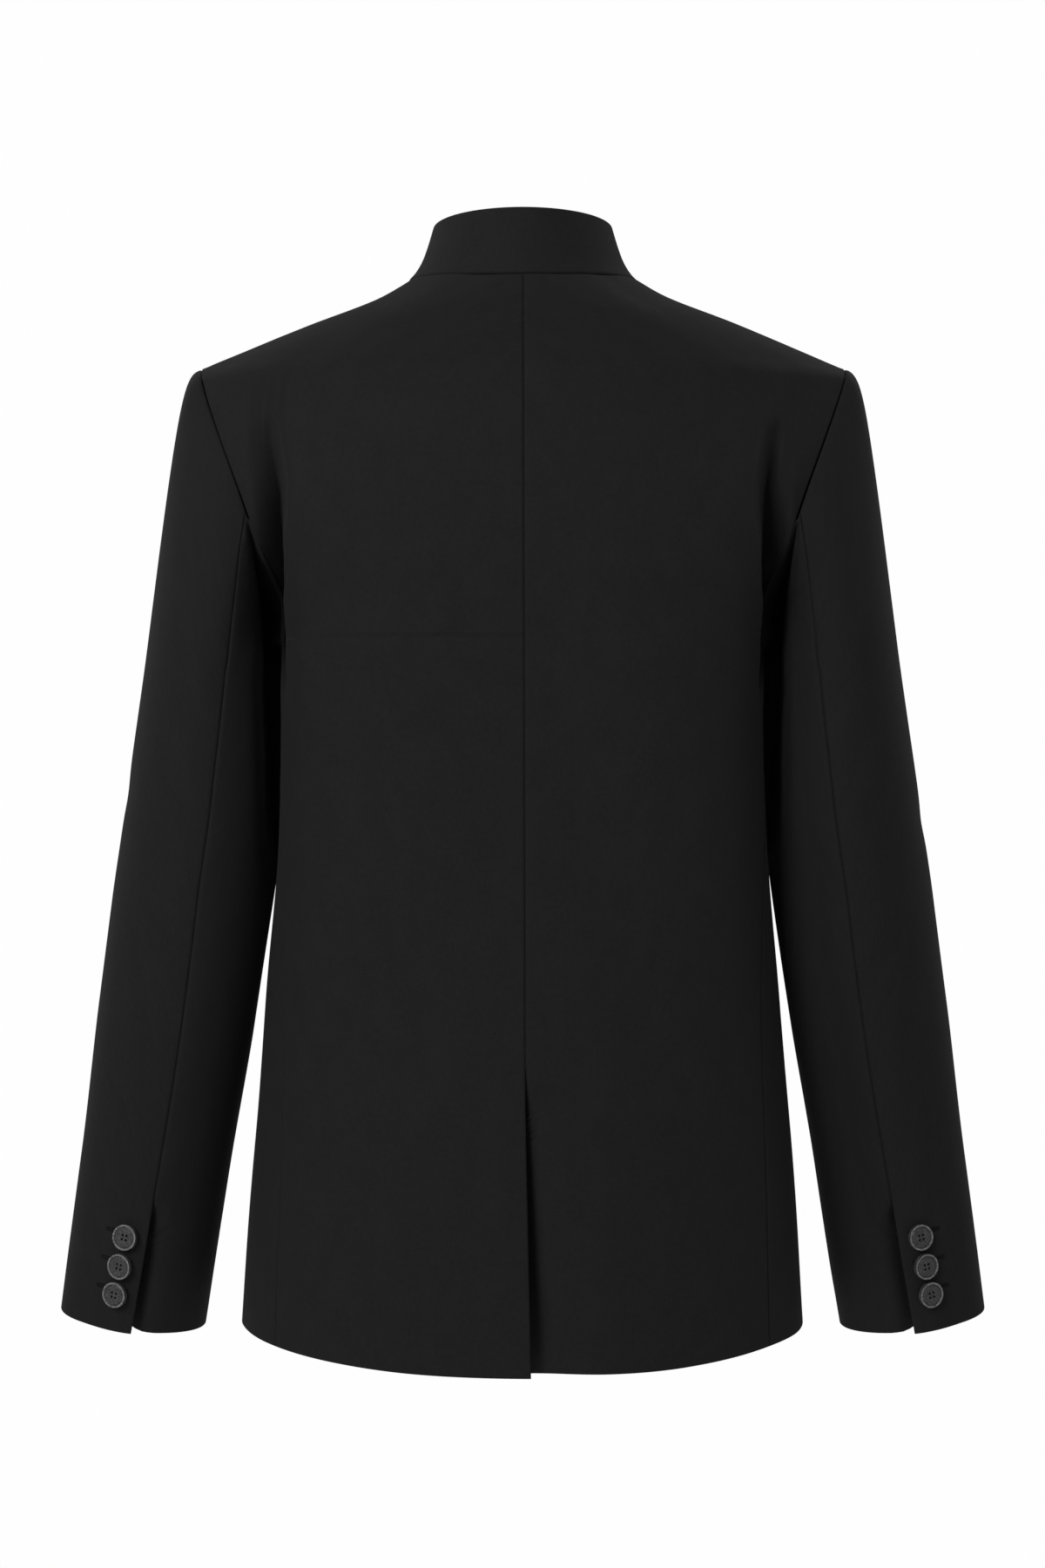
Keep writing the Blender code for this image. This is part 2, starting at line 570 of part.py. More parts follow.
def sleeve_point(arm_angle, share):
    """A point of the right sleeve's outer surface, from the armhole (0) to the cuff (1)."""
    arm_angle, share = np.broadcast_arrays(np.asarray(arm_angle, float), np.asarray(share, float))
    start, leaving = armhole_frame(arm_angle)
    start = start + leaving * SEAM_GAP
    biceps = sleeve_ring_point(arm_angle, np.zeros_like(share))
    sideways = -np.sin(np.radians(arm_angle))
    go = np.stack(
        [by_side(CAP_OUT, arm_angle), CAP_SPREAD * sideways, -by_side(CAP_DOWN, arm_angle)], axis=-1
    )
    later = sleeve_ring_point(arm_angle, np.full_like(share, 0.05)) - biceps
    span = np.linalg.norm(biceps - start, axis=-1, keepdims=True)
    arrive = unit(later) * span * CAP_END_SHARE
    t = np.clip(share / CAP_SHARE, 0, 1)[..., None]
    cap = (1 + 2 * t) * (1 - t) ** 2 * start + t * (1 - t) ** 2 * go
    cap = cap + t * t * (3 - 2 * t) * biceps + t * t * (t - 1) * arrive
    roll = share / HEAD_PEAK * np.exp(1 - share / HEAD_PEAK)
    cap[..., 0] += HEAD_RISE * roll * np.clip(np.cos(np.radians(arm_angle)), 0, 1) ** 2 * (1 - t[..., 0])
    place = np.clip((share - CAP_SHARE) / (1 - CAP_SHARE), 0, 1) * (len(SLEEVE) - 1)
    return np.where(share[..., None] < CAP_SHARE, cap, sleeve_ring_point(arm_angle, place))


def sleeve_normal(arm_angle, share):
    turn, step = 0.5, 0.002
    around = sleeve_point(arm_angle + turn, share) - sleeve_point(arm_angle - turn, share)
    down = sleeve_point(arm_angle, np.minimum(share + step, 1))
    down = down - sleeve_point(arm_angle, np.maximum(share - step, 0))
    normal = unit(np.cross(around, down))
    leaving = armhole_frame(arm_angle)[1]
    into_body = np.maximum((normal * leaving).sum(-1, keepdims=True), 0.0)
    at_seam = (np.asarray(share) <= 0)[..., None]
    return unit(normal - np.where(at_seam, into_body * leaving, 0.0))


def hindarm_angle(share):
    return smooth_through(column(HINDARM, "share"), column(HINDARM, "angle"), share)


def share_above_cuff(length):
    """Share of the sleeve at a length of the hindarm seam above the cuff."""
    shares = np.linspace(CAP_SHARE, 1.0, 400)
    points = sleeve_point(hindarm_angle(shares), shares)
    to_cuff = np.linalg.norm(np.diff(points, axis=0), axis=1)[::-1].cumsum()[::-1]
    return float(np.interp(-length, -to_cuff, shares[:-1]))


def arm_degrees(length, share):
    """The turn round the arm behind it that covers a length of cloth."""
    turn = 1.0
    angle = float(hindarm_angle(share))
    ends = sleeve_point(np.array([angle - turn, angle + turn]), np.full(2, share))
    return length * 2 * turn / np.linalg.norm(ends[1] - ends[0])


def sleeve_shares():
    """Rows down a sleeve, with rows where the cuff vent begins."""
    vent = share_above_cuff(CUFF_VENT)
    ramp = CUFF_RAMP * (1 - vent) / CUFF_VENT
    cap = np.linspace(0.0, CAP_SHARE, CAP_ROWS, endpoint=False)
    arm = np.linspace(CAP_SHARE, vent, SLEEVE_ROWS + 1)
    return np.concatenate([cap, arm, [vent + ramp], np.linspace(vent + 2 * ramp, 1.0, CUFF_ROWS + 1)])


def mirrored(vectors, side):
    return vectors * np.array([side, 1.0, 1.0])


def sleeve_piece(name, side, angles, depth):
    """One of a sleeve's two pieces, from a row of angles round the arm for each share of its length."""
    grid_shares = np.repeat(sleeve_shares()[:, None], angles.shape[1], axis=1)
    points, normals = sleeve_point(angles, grid_shares), sleeve_normal(angles, grid_shares)
    points = points - normals * depth(angles, grid_shares)[..., None]
    return cloth(name, mirrored(points, side), mirrored(normals, side), CLOTH_WALL)


def sleeve(side):
    """The top sleeve and the under sleeve, with the top one lapping over at the cuff vent."""
    word = "right" if side > 0 else "left"
    shares = sleeve_shares()
    gap = np.array([arm_degrees(SEAM_GAP / 2, s) for s in shares])
    vent = share_above_cuff(CUFF_VENT)
    length = CUFF_VENT / (1 - vent)
    below = (shares - vent) * length
    underlap = np.array([arm_degrees(CUFF_UNDERLAP, s) for s in shares]) * ease(below / CUFF_RAMP - 1)
    hindarm = hindarm_angle(shares)[:, None]
    top = np.concatenate([ARM_FRONT_HIGH[:-1] - 360.0, ARM_BACK_HIGH])
    top = np.where(top > 0, top * hindarm / HINDARM_TOP, top)
    under = np.concatenate([ARM_BACK_LOW, ARM_ARMPIT[1:], ARM_FRONT_LOW[1:]])
    left_over = (FOREARM_ANGLE - under) / (FOREARM_ANGLE - HINDARM_TOP)
    under = FOREARM_ANGLE - (FOREARM_ANGLE - hindarm) * left_over
    top[:, 0] += gap
    top[:, -1] -= gap
    under[:, -1] -= gap
    under[:, 0] += gap - underlap
    under[:, 1] -= underlap / 2

    def flat(angles, grid_shares):
        return np.zeros_like(angles)

    def tucked(angles, grid_shares):
        near = 1 - ease((angles - hindarm) / arm_degrees(CUFF_UNDERLAP, 1.0))
        return (CLOTH_WALL + LAP_GAP) * near * ease((grid_shares - vent) * length / CUFF_RAMP)

    sleeve_piece(f"sleeve_top_{word}", side, top, flat)
    sleeve_piece(f"sleeve_under_{word}", side, under, tucked)


def button_mesh():
    """A four-hole button lying on the XY plane: a dished disc with a raised rim."""
    mesh = bmesh.new()
    bmesh.ops.create_cone(
        mesh, cap_ends=True, segments=BUTTON_SIDES, radius1=BUTTON_RADIUS, radius2=BUTTON_RADIUS,
        depth=BUTTON_HEIGHT,
    )
    bmesh.ops.translate(mesh, verts=mesh.verts, vec=(0, 0, BUTTON_HEIGHT / 2))
    top = [f for f in mesh.faces if f.normal.z > 0.9]
    bmesh.ops.inset_region(mesh, faces=top, thickness=BUTTON_RIM, depth=0.0)
    top = [f for f in mesh.faces if f.normal.z > 0.9 and len(f.verts) == BUTTON_SIDES]
    bmesh.ops.inset_region(mesh, faces=top, thickness=BUTTON_DISH, depth=-BUTTON_DISH)
    rim = [e for e in mesh.edges if all(abs(v.co.xy.length - BUTTON_RADIUS) < 1e-6 for v in e.verts)]
    rim = [e for e in rim if abs(e.verts[0].co.z - e.verts[1].co.z) < 1e-6]
    bmesh.ops.bevel(mesh, geom=rim, offset=BUTTON_BEVEL, segments=1, affect="EDGES")
    data = bpy.data.meshes.new("button")
    mesh.to_mesh(data)
    mesh.free()
    return data


def hole_cutter():
    """Four pegs that cut the sewing holes through a button at the origin."""
    mesh = bmesh.new()
    for across in (-BUTTON_HOLE_OFFSET, BUTTON_HOLE_OFFSET):
        for along in (-BUTTON_HOLE_OFFSET, BUTTON_HOLE_OFFSET):
            made = bmesh.ops.create_cone(
                mesh, cap_ends=True, segments=BUTTON_HOLE_SIDES, radius1=BUTTON_HOLE_RADIUS,
                radius2=BUTTON_HOLE_RADIUS, depth=4 * BUTTON_HEIGHT,
            )
            bmesh.ops.translate(mesh, verts=made["verts"], vec=(across, along, 0))
    data = bpy.data.meshes.new("button holes")
    mesh.to_mesh(data)
    mesh.free()
    return data


def button_place(side, index):
    """Where a cuff button sits on the top sleeve, and its outward direction."""
    share = share_above_cuff(BUTTON_FROM_CUFF + index * BUTTON_SPACING)
    angle = float(hindarm_angle(share)) - arm_degrees(BUTTON_FROM_EDGE, share)
    point, normal = sleeve_point(angle, share), sleeve_normal(angle, share)
    down = sleeve_point(angle, min(share + 0.01, 1.0)) - point
    return mirrored(point, side), mirrored(normal, side), mirrored(down, side)


def button(side, index, mesh, cutter_mesh):
    """One cuff button, standing just clear of the cloth with its holes cut through."""
    word = "right" if side > 0 else "left"
    point, normal, down = button_place(side, index)
    up = unit(-down + normal * (down @ normal))
    frame = np.eye(4)
    frame[:3, 0], frame[:3, 1], frame[:3, 2] = np.cross(up, normal), up, normal
    frame[:3, 3] = point + normal * BUTTON_LIFT
    piece = bpy.data.objects.new(f"cuff_button_{word}_{index + 1}", mesh.copy())
    cutter = bpy.data.objects.new(f"cuff_button_holes_{word}_{index + 1}", cutter_mesh)
    for item in (piece, cutter):
        bpy.context.scene.collection.objects.link(item)
        item.matrix_world = Matrix(frame.tolist())
    cutter.hide_render = True
    cutter.display_type = "WIRE"
    cut = piece.modifiers.new("sewing holes", "BOOLEAN")
    cut.operation = "DIFFERENCE"
    cut.object = cutter
    piece.data.materials.append(finish(piece.name, BUTTON_GREY, BUTTON_ROUGHNESS))


def finish(name, colour, roughness):
    material = bpy.data.materials.new(name)
    material.use_nodes = True
    shader = material.node_tree.nodes["Principled BSDF"]
    shader.inputs["Base Color"].default_value = colour
    shader.inputs["Roughness"].default_value = roughness
    shader.inputs["Metallic"].default_value = 0.0
    return material


def main():
    for item in list(bpy.data.objects):
        bpy.data.objects.remove(item)
    mesh, holes = button_mesh(), hole_cutter()
    collar()
    for side in (-1, 1):
        back_panel(side)
        side_panel(side)
        front_panel(side)
        sleeve(side)
        for index in range(BUTTON_COUNT):
            button(side, index, mesh, holes)
    pieces = list(bpy.context.scene.collection.objects)
    wearer = bpy.data.objects.new("held by the shoulders", None)
    bpy.context.scene.collection.objects.link(wearer)
    for piece in pieces:
        piece.parent = wearer


main()
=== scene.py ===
"""Dresses the stand-collar jacket: finer cloth panels with their seams, folds and creases, the cuff
buttons and buttonholes, and a plain white studio.

Metres, +Z up. The back faces -Y, the front +Y, and the wearer's right side is +X. The body is one
surface, read by an angle round it (0 at the centre back, 90 at the right side, 180 at the centre
front) and by a level (the height of that ring at the side). A sleeve is read by an angle round the
arm (0 outside, 90 behind, 180 against the body, 270 in front) and by a share of its length.
"""

import math
from collections import namedtuple

import bpy
import numpy as np
from mathutils import Matrix, Vector


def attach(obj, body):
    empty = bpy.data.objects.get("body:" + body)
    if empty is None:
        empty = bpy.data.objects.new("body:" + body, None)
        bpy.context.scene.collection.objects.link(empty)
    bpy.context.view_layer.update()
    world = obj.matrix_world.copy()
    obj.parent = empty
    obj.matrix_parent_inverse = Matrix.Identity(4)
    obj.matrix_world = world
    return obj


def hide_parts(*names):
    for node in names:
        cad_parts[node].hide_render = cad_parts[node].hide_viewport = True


bl_info = {
    "name": "Stand-collar jacket",
    "version": (1, 0, 0),
    "blender": (4, 5, 0),
    "location": "View3D > Sidebar > Jacket",
    "description": "Builds the cloth, buttons and studio of a jacket worn by nobody",
    "category": "Object",
}

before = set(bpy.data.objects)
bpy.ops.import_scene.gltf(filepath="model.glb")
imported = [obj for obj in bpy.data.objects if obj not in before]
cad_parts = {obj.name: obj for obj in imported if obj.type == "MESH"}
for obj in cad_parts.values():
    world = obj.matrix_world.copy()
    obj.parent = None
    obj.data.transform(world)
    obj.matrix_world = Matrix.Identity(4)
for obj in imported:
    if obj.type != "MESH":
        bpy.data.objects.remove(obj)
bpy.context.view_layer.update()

# Body rings, from the hem up. A drop is how far a ring's middle lies above or below its sides. The
# powers say how square a ring is: behind, before, and at its two ends (under 2 is pointed).
Ring = namedtuple(
    "Ring",
    "name side_z back_drop front_drop half_width back_depth front_depth back_power front_power end_power",
)
RINGS = (
    Ring("hem", -0.6660, -0.0150, -0.0090, 0.1800, 0.1150, 0.1220, 2.20, 2.10, 2.15),
    Ring("hip", -0.5600, -0.0090, -0.0060, 0.1730, 0.1130, 0.1210, 2.20, 2.10, 2.20),
    Ring("waist", -0.4600, -0.0050, -0.0030, 0.1646, 0.1090, 0.1190, 2.40, 2.20, 2.40),
    Ring("ribs", -0.3600, -0.0020, 0.0000, 0.1560, 0.1080, 0.1200, 3.00, 2.30, 2.90),
    Ring("armpit", -0.2350, 0.0000, 0.0000, 0.1525, 0.1120, 0.1240, 3.60, 2.40, 3.20),
    Ring("low armhole", -0.2050, 0.0000, -0.0020, 0.1620, 0.1120, 0.1210, 3.30, 2.40, 2.80),
    Ring("mid armhole", -0.1570, 0.0000, -0.0080, 0.2000, 0.1100, 0.1150, 2.60, 2.30, 2.20),
    Ring("high armhole", -0.1050, 0.0000, -0.0280, 0.2450, 0.1040, 0.1000, 2.00, 2.10, 1.60),
    Ring("below the tip", -0.0680, 0.0010, -0.0445, 0.2360, 0.0975, 0.0840, 2.15, 2.00, 1.46),
    Ring("shoulder tip", -0.0554, 0.0015, -0.0500, 0.2057, 0.0950, 0.0780, 2.25, 1.95, 1.50),
    Ring("shoulder", -0.0290, -0.0028, -0.0600, 0.1413, 0.0900, 0.0660, 2.30, 1.95, 1.65),
    Ring("neck side", -0.0110, -0.0055, -0.0670, 0.0935, 0.0850, 0.0570, 2.15, 2.00, 1.85),
    Ring("neck", 0.0000, -0.0066, -0.0720, 0.0740, 0.0800, 0.0500, 2.00, 2.00, 2.00),
)
LEVELS = {ring.name: ring.side_z for ring in RINGS}
HEM, ARMPIT, TIP, NECK = (LEVELS[name] for name in ("hem", "armpit", "shoulder tip", "neck"))

# Armhole: how far from the middle its edge runs at each level, behind and before.
ArmholeStep = namedtuple("ArmholeStep", "level back_x front_x")
ARMHOLE = (
    ArmholeStep(ARMPIT, 0.1525, 0.1525),
    ArmholeStep(-0.2139, 0.1510, 0.1480),
    ArmholeStep(-0.1916, 0.1578, 0.1530),
    ArmholeStep(-0.1757, 0.1644, 0.1575),
    ArmholeStep(-0.1557, 0.1707, 0.1635),
    ArmholeStep(-0.1376, 0.1769, 0.1695),
    ArmholeStep(-0.1049, 0.1893, 0.1830),
    ArmholeStep(-0.0757, 0.1999, 0.1970),
    ArmholeStep(TIP, 0.2057, 0.2057),
)
ARMHOLE_LEVEL = (TIP + ARMPIT) / 2
ARMHOLE_HALF_HEIGHT = (TIP - ARMPIT) / 2

# Seams of the side panels: angles at each level, from the back and from the front.
SideSeams = namedtuple("SideSeams", "level back_angle front_angle")
SIDE_SEAMS = (
    SideSeams(HEM, 56.6, 122.0),
    SideSeams(-0.5970, 57.8, 121.0),
    SideSeams(-0.5100, 58.8, 120.0),
    SideSeams(-0.4300, 61.0, 118.0),
    SideSeams(-0.3760, 64.5, 116.0),
    SideSeams(-0.3150, 75.0, 114.0),
    SideSeams(ARMPIT, 78.0, 112.0),
)

# The drape fold beside each back armhole: a crest, and a hollow with a steep side outside it. The runs
# are angles: from the crest out to the hollow's bottom, and on to where the plain back begins again.
FoldStep = namedtuple("FoldStep", "level crest_angle rise depth outer_run hollow_run")
BACK_FOLD = (
    FoldStep(HEM, 60.0, 0.0000, 0.0000, 1.6, 24.0),
    FoldStep(-0.2700, 60.0, 0.0000, 0.0000, 1.6, 26.0),
    FoldStep(ARMPIT, 60.0, 0.0015, 0.0440, 1.6, 27.0),
    FoldStep(-0.2100, 57.0, 0.0040, 0.0520, 1.6, 28.0),
    FoldStep(-0.1950, 52.8, 0.0050, 0.0540, 1.6, 20.0),
    FoldStep(-0.1800, 48.4, 0.0050, 0.0400, 1.7, 12.0),
    FoldStep(-0.1650, 44.7, 0.0045, 0.0320, 1.9, 9.6),
    FoldStep(-0.1500, 41.8, 0.0035, 0.0250, 2.1, 7.8),
    FoldStep(-0.1350, 39.4, 0.0025, 0.0180, 2.3, 6.6),
    FoldStep(-0.1200, 38.5, 0.0015, 0.0120, 2.4, 5.8),
    FoldStep(-0.1050, 39.2, 0.0005, 0.0055, 2.4, 4.8),
    FoldStep(-0.0920, 40.4, 0.0000, 0.0000, 2.2, 3.6),
    FoldStep(NECK, 42.0, 0.0000, 0.0000, 2.0, 3.0),
)
FOLD_INNER_RUN = 26.0
FOLD_MARGIN = 3.0
FOLD_COLUMNS = 34
FOLD_DROP_CURVE = 0.8
FOLD_HOLLOW_CURVE = 1.6
# The back stands out a little beside the armpit, over the sleeve's seam: how far, how far up and down,
# and between which angles it comes and goes.
LIP = 0.0024
LIP_REACH = 0.030
LIP_INNER = (40.0, 56.0)
LIP_OUTER = (68.0, 82.0)

# The centre back seam drifts to the right on its way down.
CENTRE_AT_NECK = 0.0004
CENTRE_AT_VENT = 0.0016

# Back vent: the left back laps over the right one.
VENT_TOP = -0.4880
VENT_RAMP = 0.0240
VENT_UNDERLAP = 0.0380
VENT_OVERLAP = 0.0034
VENT_HEM_DEPTH = 0.0070
VENT_FADE = 0.0500
VENT_HEM_LIFT = 0.0024
VENT_LIFT_HEIGHT = 0.0200
# The right back dives behind the left one's edge: how far and over what length, at the hem.
VENT_FALL = 0.0240
VENT_FALL_RUN = 0.0125
VENT_FALL_LEAST_RUN = 0.0020
VENT_FALL_GROWTH = 0.8
VENT_FALL_CURVE = 1.3
VENT_HEM_DROP = 0.19

# Front lap: the right front lies over the left one, and its edge slants across the centre front.
LapEdge = namedtuple("LapEdge", "level over_edge under_edge")
FRONT_LAP = (
    LapEdge(HEM, 0.0980, 0.0300),
    LapEdge(ARMPIT, 0.0700, 0.0300),
    LapEdge(TIP, 0.0340, 0.0240),
    LapEdge(NECK, 0.0260, 0.0200),
)
LAP_RAMP = 0.0350
LAP_MARGIN = 0.0240
LAP_GAP = 0.0005
FRONT_LAP_GAP = 0.0009
COLLAR_LAP_RISE = 0.0008
COLLAR_LAP_SCALE = 1.1
# Where creases die out: before the lap, as a turn, and below the armpit.
LAP_CALM = 12.0
ARMPIT_CALM = 0.030

# Collar rings, by share of its height.
CollarRing = namedtuple("CollarRing", "share half_width back_depth front_depth side_z back_drop front_drop")
COLLAR = (
    CollarRing(0.00, 0.0740, 0.0800, 0.0500, 0.0000, -0.0066, -0.0720),
    CollarRing(0.15, 0.0690, 0.0781, 0.0484, 0.0056, -0.0060, -0.0720),
    CollarRing(0.35, 0.0650, 0.0763, 0.0468, 0.0124, -0.0048, -0.0715),
    CollarRing(0.60, 0.0615, 0.0742, 0.0454, 0.0216, -0.0030, -0.0710),
    CollarRing(1.00, 0.0572, 0.0712, 0.0436, 0.0358, 0.0004, -0.0700),
)

# Sleeve rings, from the biceps to the cuff: centre, half sizes, slant of the cut and turn of the oval.
SleeveRing = namedtuple("SleeveRing", "name x y z half_across half_depth slant turn")
SLEEVE = (
    SleeveRing("biceps", 0.1980, 0.002, -0.2500, 0.0444, 0.0680, 6.0, 0.0),
    SleeveRing("above elbow", 0.2067, 0.004, -0.3450, 0.0501, 0.0630, 7.0, 4.0),
    SleeveRing("elbow", 0.2138, 0.006, -0.4020, 0.0511, 0.0590, 7.5, 8.0),
    SleeveRing("below elbow", 0.2238, 0.011, -0.4700, 0.0507, 0.0545, 7.5, 14.0),
    SleeveRing("forearm", 0.2381, 0.019, -0.5650, 0.0484, 0.0460, 7.5, 20.0),
    SleeveRing("cuff", 0.2540, 0.029, -0.6680, 0.0482, 0.0385, 8.8, 25.0),
)
CUFF_BACK_DROP = 0.0035
# The hollow between the under sleeve and the body, as seen from behind: where its wall stands at each
# level, and how far it goes in.
HollowStep = namedtuple("HollowStep", "level wall_x ramp depth")
UNDER_ARM = (
    HollowStep(-0.5000, 0.1640, 0.013, 0.000),
    HollowStep(-0.4400, 0.1622, 0.013, 0.022),
    HollowStep(-0.3950, 0.1618, 0.013, 0.046),
    HollowStep(-0.3300, 0.1617, 0.013, 0.062),
    HollowStep(-0.2560, 0.1621, 0.013, 0.066),
    HollowStep(-0.2036, 0.1636, 0.011, 0.066),
    HollowStep(-0.1780, 0.1656, 0.009, 0.060),
    HollowStep(-0.1650, 0.1676, 0.008, 0.040),
    HollowStep(-0.1570, 0.1690, 0.008, 0.000),
)
HOLLOW_START = 0.6
HOLLOW_CURVE = 2.4
# Shares of the sleeve's length over which it begins, behind and in front, and the angles between them.
HOLLOW_EDGE = 0.006
HOLLOW_FRONT_EDGE = 0.022
HOLLOW_EDGE_TURN = (150.0, 190.0)
# How far its wall leans out above the gap beside the body, and the angles where it ends.
HOLLOW_LEAN = 0.20
HOLLOW_LEAN_LEVELS = (-0.390, -0.330)
HOLLOW_FLOOR = (152.0, 182.0)
HOLLOW_ENDS = (140.0, 225.0)
CAP_SHARE = 0.36
FOREARM_ANGLE = 285.0
# The hindarm seam's angle round the arm, down the sleeve.
HindarmStep = namedtuple("HindarmStep", "share angle")
HINDARM = (
    HindarmStep(0.00, 95.0),
    HindarmStep(0.18, 106.0),
    HindarmStep(0.32, 109.0),
    HindarmStep(0.46, 102.5),
    HindarmStep(0.60, 99.5),
    HindarmStep(0.80, 100.5),
    HindarmStep(1.00, 98.5),
)
# How a sleeve leaves the armhole, outside, at the sides and at the armpit.
CAP_OUT = (0.046, 0.033, 0.012)
CAP_DOWN = (0.020, 0.050, 0.022)
CAP_SPREAD = 0.012
CAP_END_SHARE = 0.85
HEAD_RISE = 0.0030
HEAD_PEAK = 0.050

# Cuff vent and its buttons
CUFF_VENT = 0.090
CUFF_RAMP = 0.016
CUFF_UNDERLAP = 0.016
CUFF_TUCK = 0.0014
CUFF_DIVE = 0.0090
CUFF_DIVE_RUN = 0.0065
CUFF_DIVE_GROWTH = 0.25
CUFF_FLARE = 0.0042
CUFF_FLARE_RUN = 0.036
BUTTON_COUNT = 3
BUTTON_SPACING = 0.0190
BUTTON_FROM_CUFF = 0.0252
BUTTON_FROM_EDGE = 0.0127
BUTTON_LIFT = 0.0013

# Soft creases in the body cloth, from one end to the other. A bow moves the middle sideways, and a
# height under zero is a trough.
Crease = namedtuple("Crease", "piece from_angle from_level to_angle to_level half_width bow height")
BODY_CREASES = (
    Crease("back", -15.0, -0.362, -29.0, -0.492, 0.020, 0.004, -0.0011),
    Crease("back", -9.0, -0.430, -20.0, -0.560, 0.016, -0.003, 0.0006),
    Crease("back", 11.0, -0.292, 17.0, -0.388, 0.017, 0.003, -0.0009),
    Crease("back", 21.0, -0.345, 29.0, -0.530, 0.022, -0.005, -0.0010),
    Crease("back", -24.0, -0.565, -38.0, -0.655, 0.020, 0.003, 0.0008),
    Crease("back", 33.0, -0.560, 42.0, -0.655, 0.018, -0.003, 0.0007),
    Crease("back", -44.0, -0.300, -33.0, -0.420, 0.015, 0.003, 0.0007),
    Crease("back", 47.0, -0.290, 38.0, -0.400, 0.014, -0.002, 0.0006),
    Crease("side", 84.0, -0.300, 92.0, -0.470, 0.012, 0.003, -0.0010),
    Crease("side", -86.0, -0.310, -95.0, -0.455, 0.012, -0.003, -0.0009),
    Crease("side", 100.0, -0.390, 108.0, -0.610, 0.014, 0.002, 0.0008),
    Crease("side", -98.0, -0.400, -106.0, -0.600, 0.014, -0.002, 0.0008),
    Crease("front", 128.0, -0.235, 146.0, -0.330, 0.014, 0.003, -0.0012),
    Crease("front", -127.0, -0.240, -143.0, -0.345, 0.014, -0.003, -0.0012),
    Crease("front", 135.0, -0.420, 160.0, -0.560, 0.022, 0.005, 0.0010),
    Crease("front", -138.0, -0.400, -158.0, -0.590, 0.022, -0.004, 0.0010),
    Crease("front", 186.0, -0.340, 166.0, -0.440, 0.018, 0.003, -0.0008),
    Crease("front", -126.0, -0.470, -133.0, -0.620, 0.016, 0.002, -0.0008),
    Crease("front", 126.0, -0.480, 134.0, -0.615, 0.016, -0.002, -0.0008),
)
# The same down the sleeves, by angle round the arm and share of its length.
SleeveCrease = namedtuple(
    "SleeveCrease", "side from_angle from_share to_angle to_share half_width bow height"
)
SLEEVE_CREASES = (
    SleeveCrease(-1, 40.0, 0.455, -35.0, 0.500, 0.013, 0.003, -0.0009),
    SleeveCrease(-1, 70.0, 0.590, 10.0, 0.560, 0.012, -0.002, -0.0007),
    SleeveCrease(-1, 205.0, 0.520, 262.0, 0.545, 0.010, 0.002, -0.0016),
    SleeveCrease(-1, 215.0, 0.575, 275.0, 0.590, 0.009, 0.001, -0.0012),
    SleeveCrease(-1, 120.0, 0.300, 150.0, 0.400, 0.012, 0.002, -0.0010),
    SleeveCrease(1, 45.0, 0.470, -30.0, 0.520, 0.014, -0.003, -0.0008),
    SleeveCrease(1, 65.0, 0.610, 15.0, 0.570, 0.012, 0.002, -0.0008),
    SleeveCrease(1, 210.0, 0.530, 268.0, 0.550, 0.010, -0.002, -0.0015),
    SleeveCrease(1, 218.0, 0.590, 272.0, 0.600, 0.009, 0.001, -0.0013),
    SleeveCrease(1, 118.0, 0.310, 146.0, 0.390, 0.012, -0.002, -0.0010),
)
# Slow unevenness of hanging cloth: waves across and along, each with its phase and height.
Wave = namedtuple("Wave", "across along phase height")
WAVES = (
    Wave(0.147, 0.610, 0.4, 0.00032),
    Wave(0.083, 0.290, 2.1, 0.00020),
    Wave(0.231, 0.173, 4.4, 0.00022),
    Wave(0.059, 0.410, 5.3, 0.00012),
)
# Puckers beside a seam: spacing along it, phase and height.
PUCKERS = ((0.0117, 0.3, 0.00007), (0.0173, 1.9, 0.00006), (0.0291, 3.7, 0.00008))
PUCKER_REACH = 0.0070

# Close rows where a cloth edge turns over, as lengths from the edge.
EDGE_STEPS = (0.0, 0.00025, 0.0006, 0.0011, 0.0017, 0.0025, 0.0036)
BODY_RADIUS = 0.150
ARM_RADIUS = 0.053
SLEEVE_LENGTH = 0.640
# About how wide the pieces are, for the spacing of their columns.
BACK_SPAN = 0.115
BACK_EDGE_SPAN = 0.040
FRONT_SPAN = 0.220
SIDE_SPAN = 0.140
SLEEVE_SPAN = 0.150
COLLAR_SPAN = 0.460
COLLAR_HEIGHT = 0.045
# Closer spacing, as shares of the cloth's grid.
YOKE_GRID = 0.7
COLLAR_GRID_ROUND = 0.8
COLLAR_GRID_UP = 0.6
RIGHT_BACK_GRID = 0.6
# How a crease tapers to its ends, and at which shares from a sleeve's armhole and cuff it ends.
CREASE_TAPER = 0.8
CREASE_FROM_ARMHOLE = 0.008
CREASE_FROM_CUFF = 0.05
SLEEVE_UNEVENNESS = 0.6
SLEEVE_WAVE_START = 0.3

# Cut of what shows of each piece: width and length of the rectangle that holds it, and its own area.
Cut = namedtuple("Cut", "width length area")
# Small steps for reading a surface's directions: a level, a turn round the body, a turn round the arm,
# a share of the sleeve and a share of the collar's height.
LEVEL_STEP = 1e-4
BODY_TURN = 0.05
ARM_TURN = 0.5
SLEEVE_STEP = 0.002
COLLAR_STEP = 1e-3

# Finishes of the suiting: the plain shell, and the flatter collar with its interlining.
Finish = namedtuple("Finish", "name mottle bump")
SHELL_FINISH = Finish("black suiting", 0.36, 0.45)
COLLAR_FINISH = Finish("fused suiting", 0.30, 0.35)

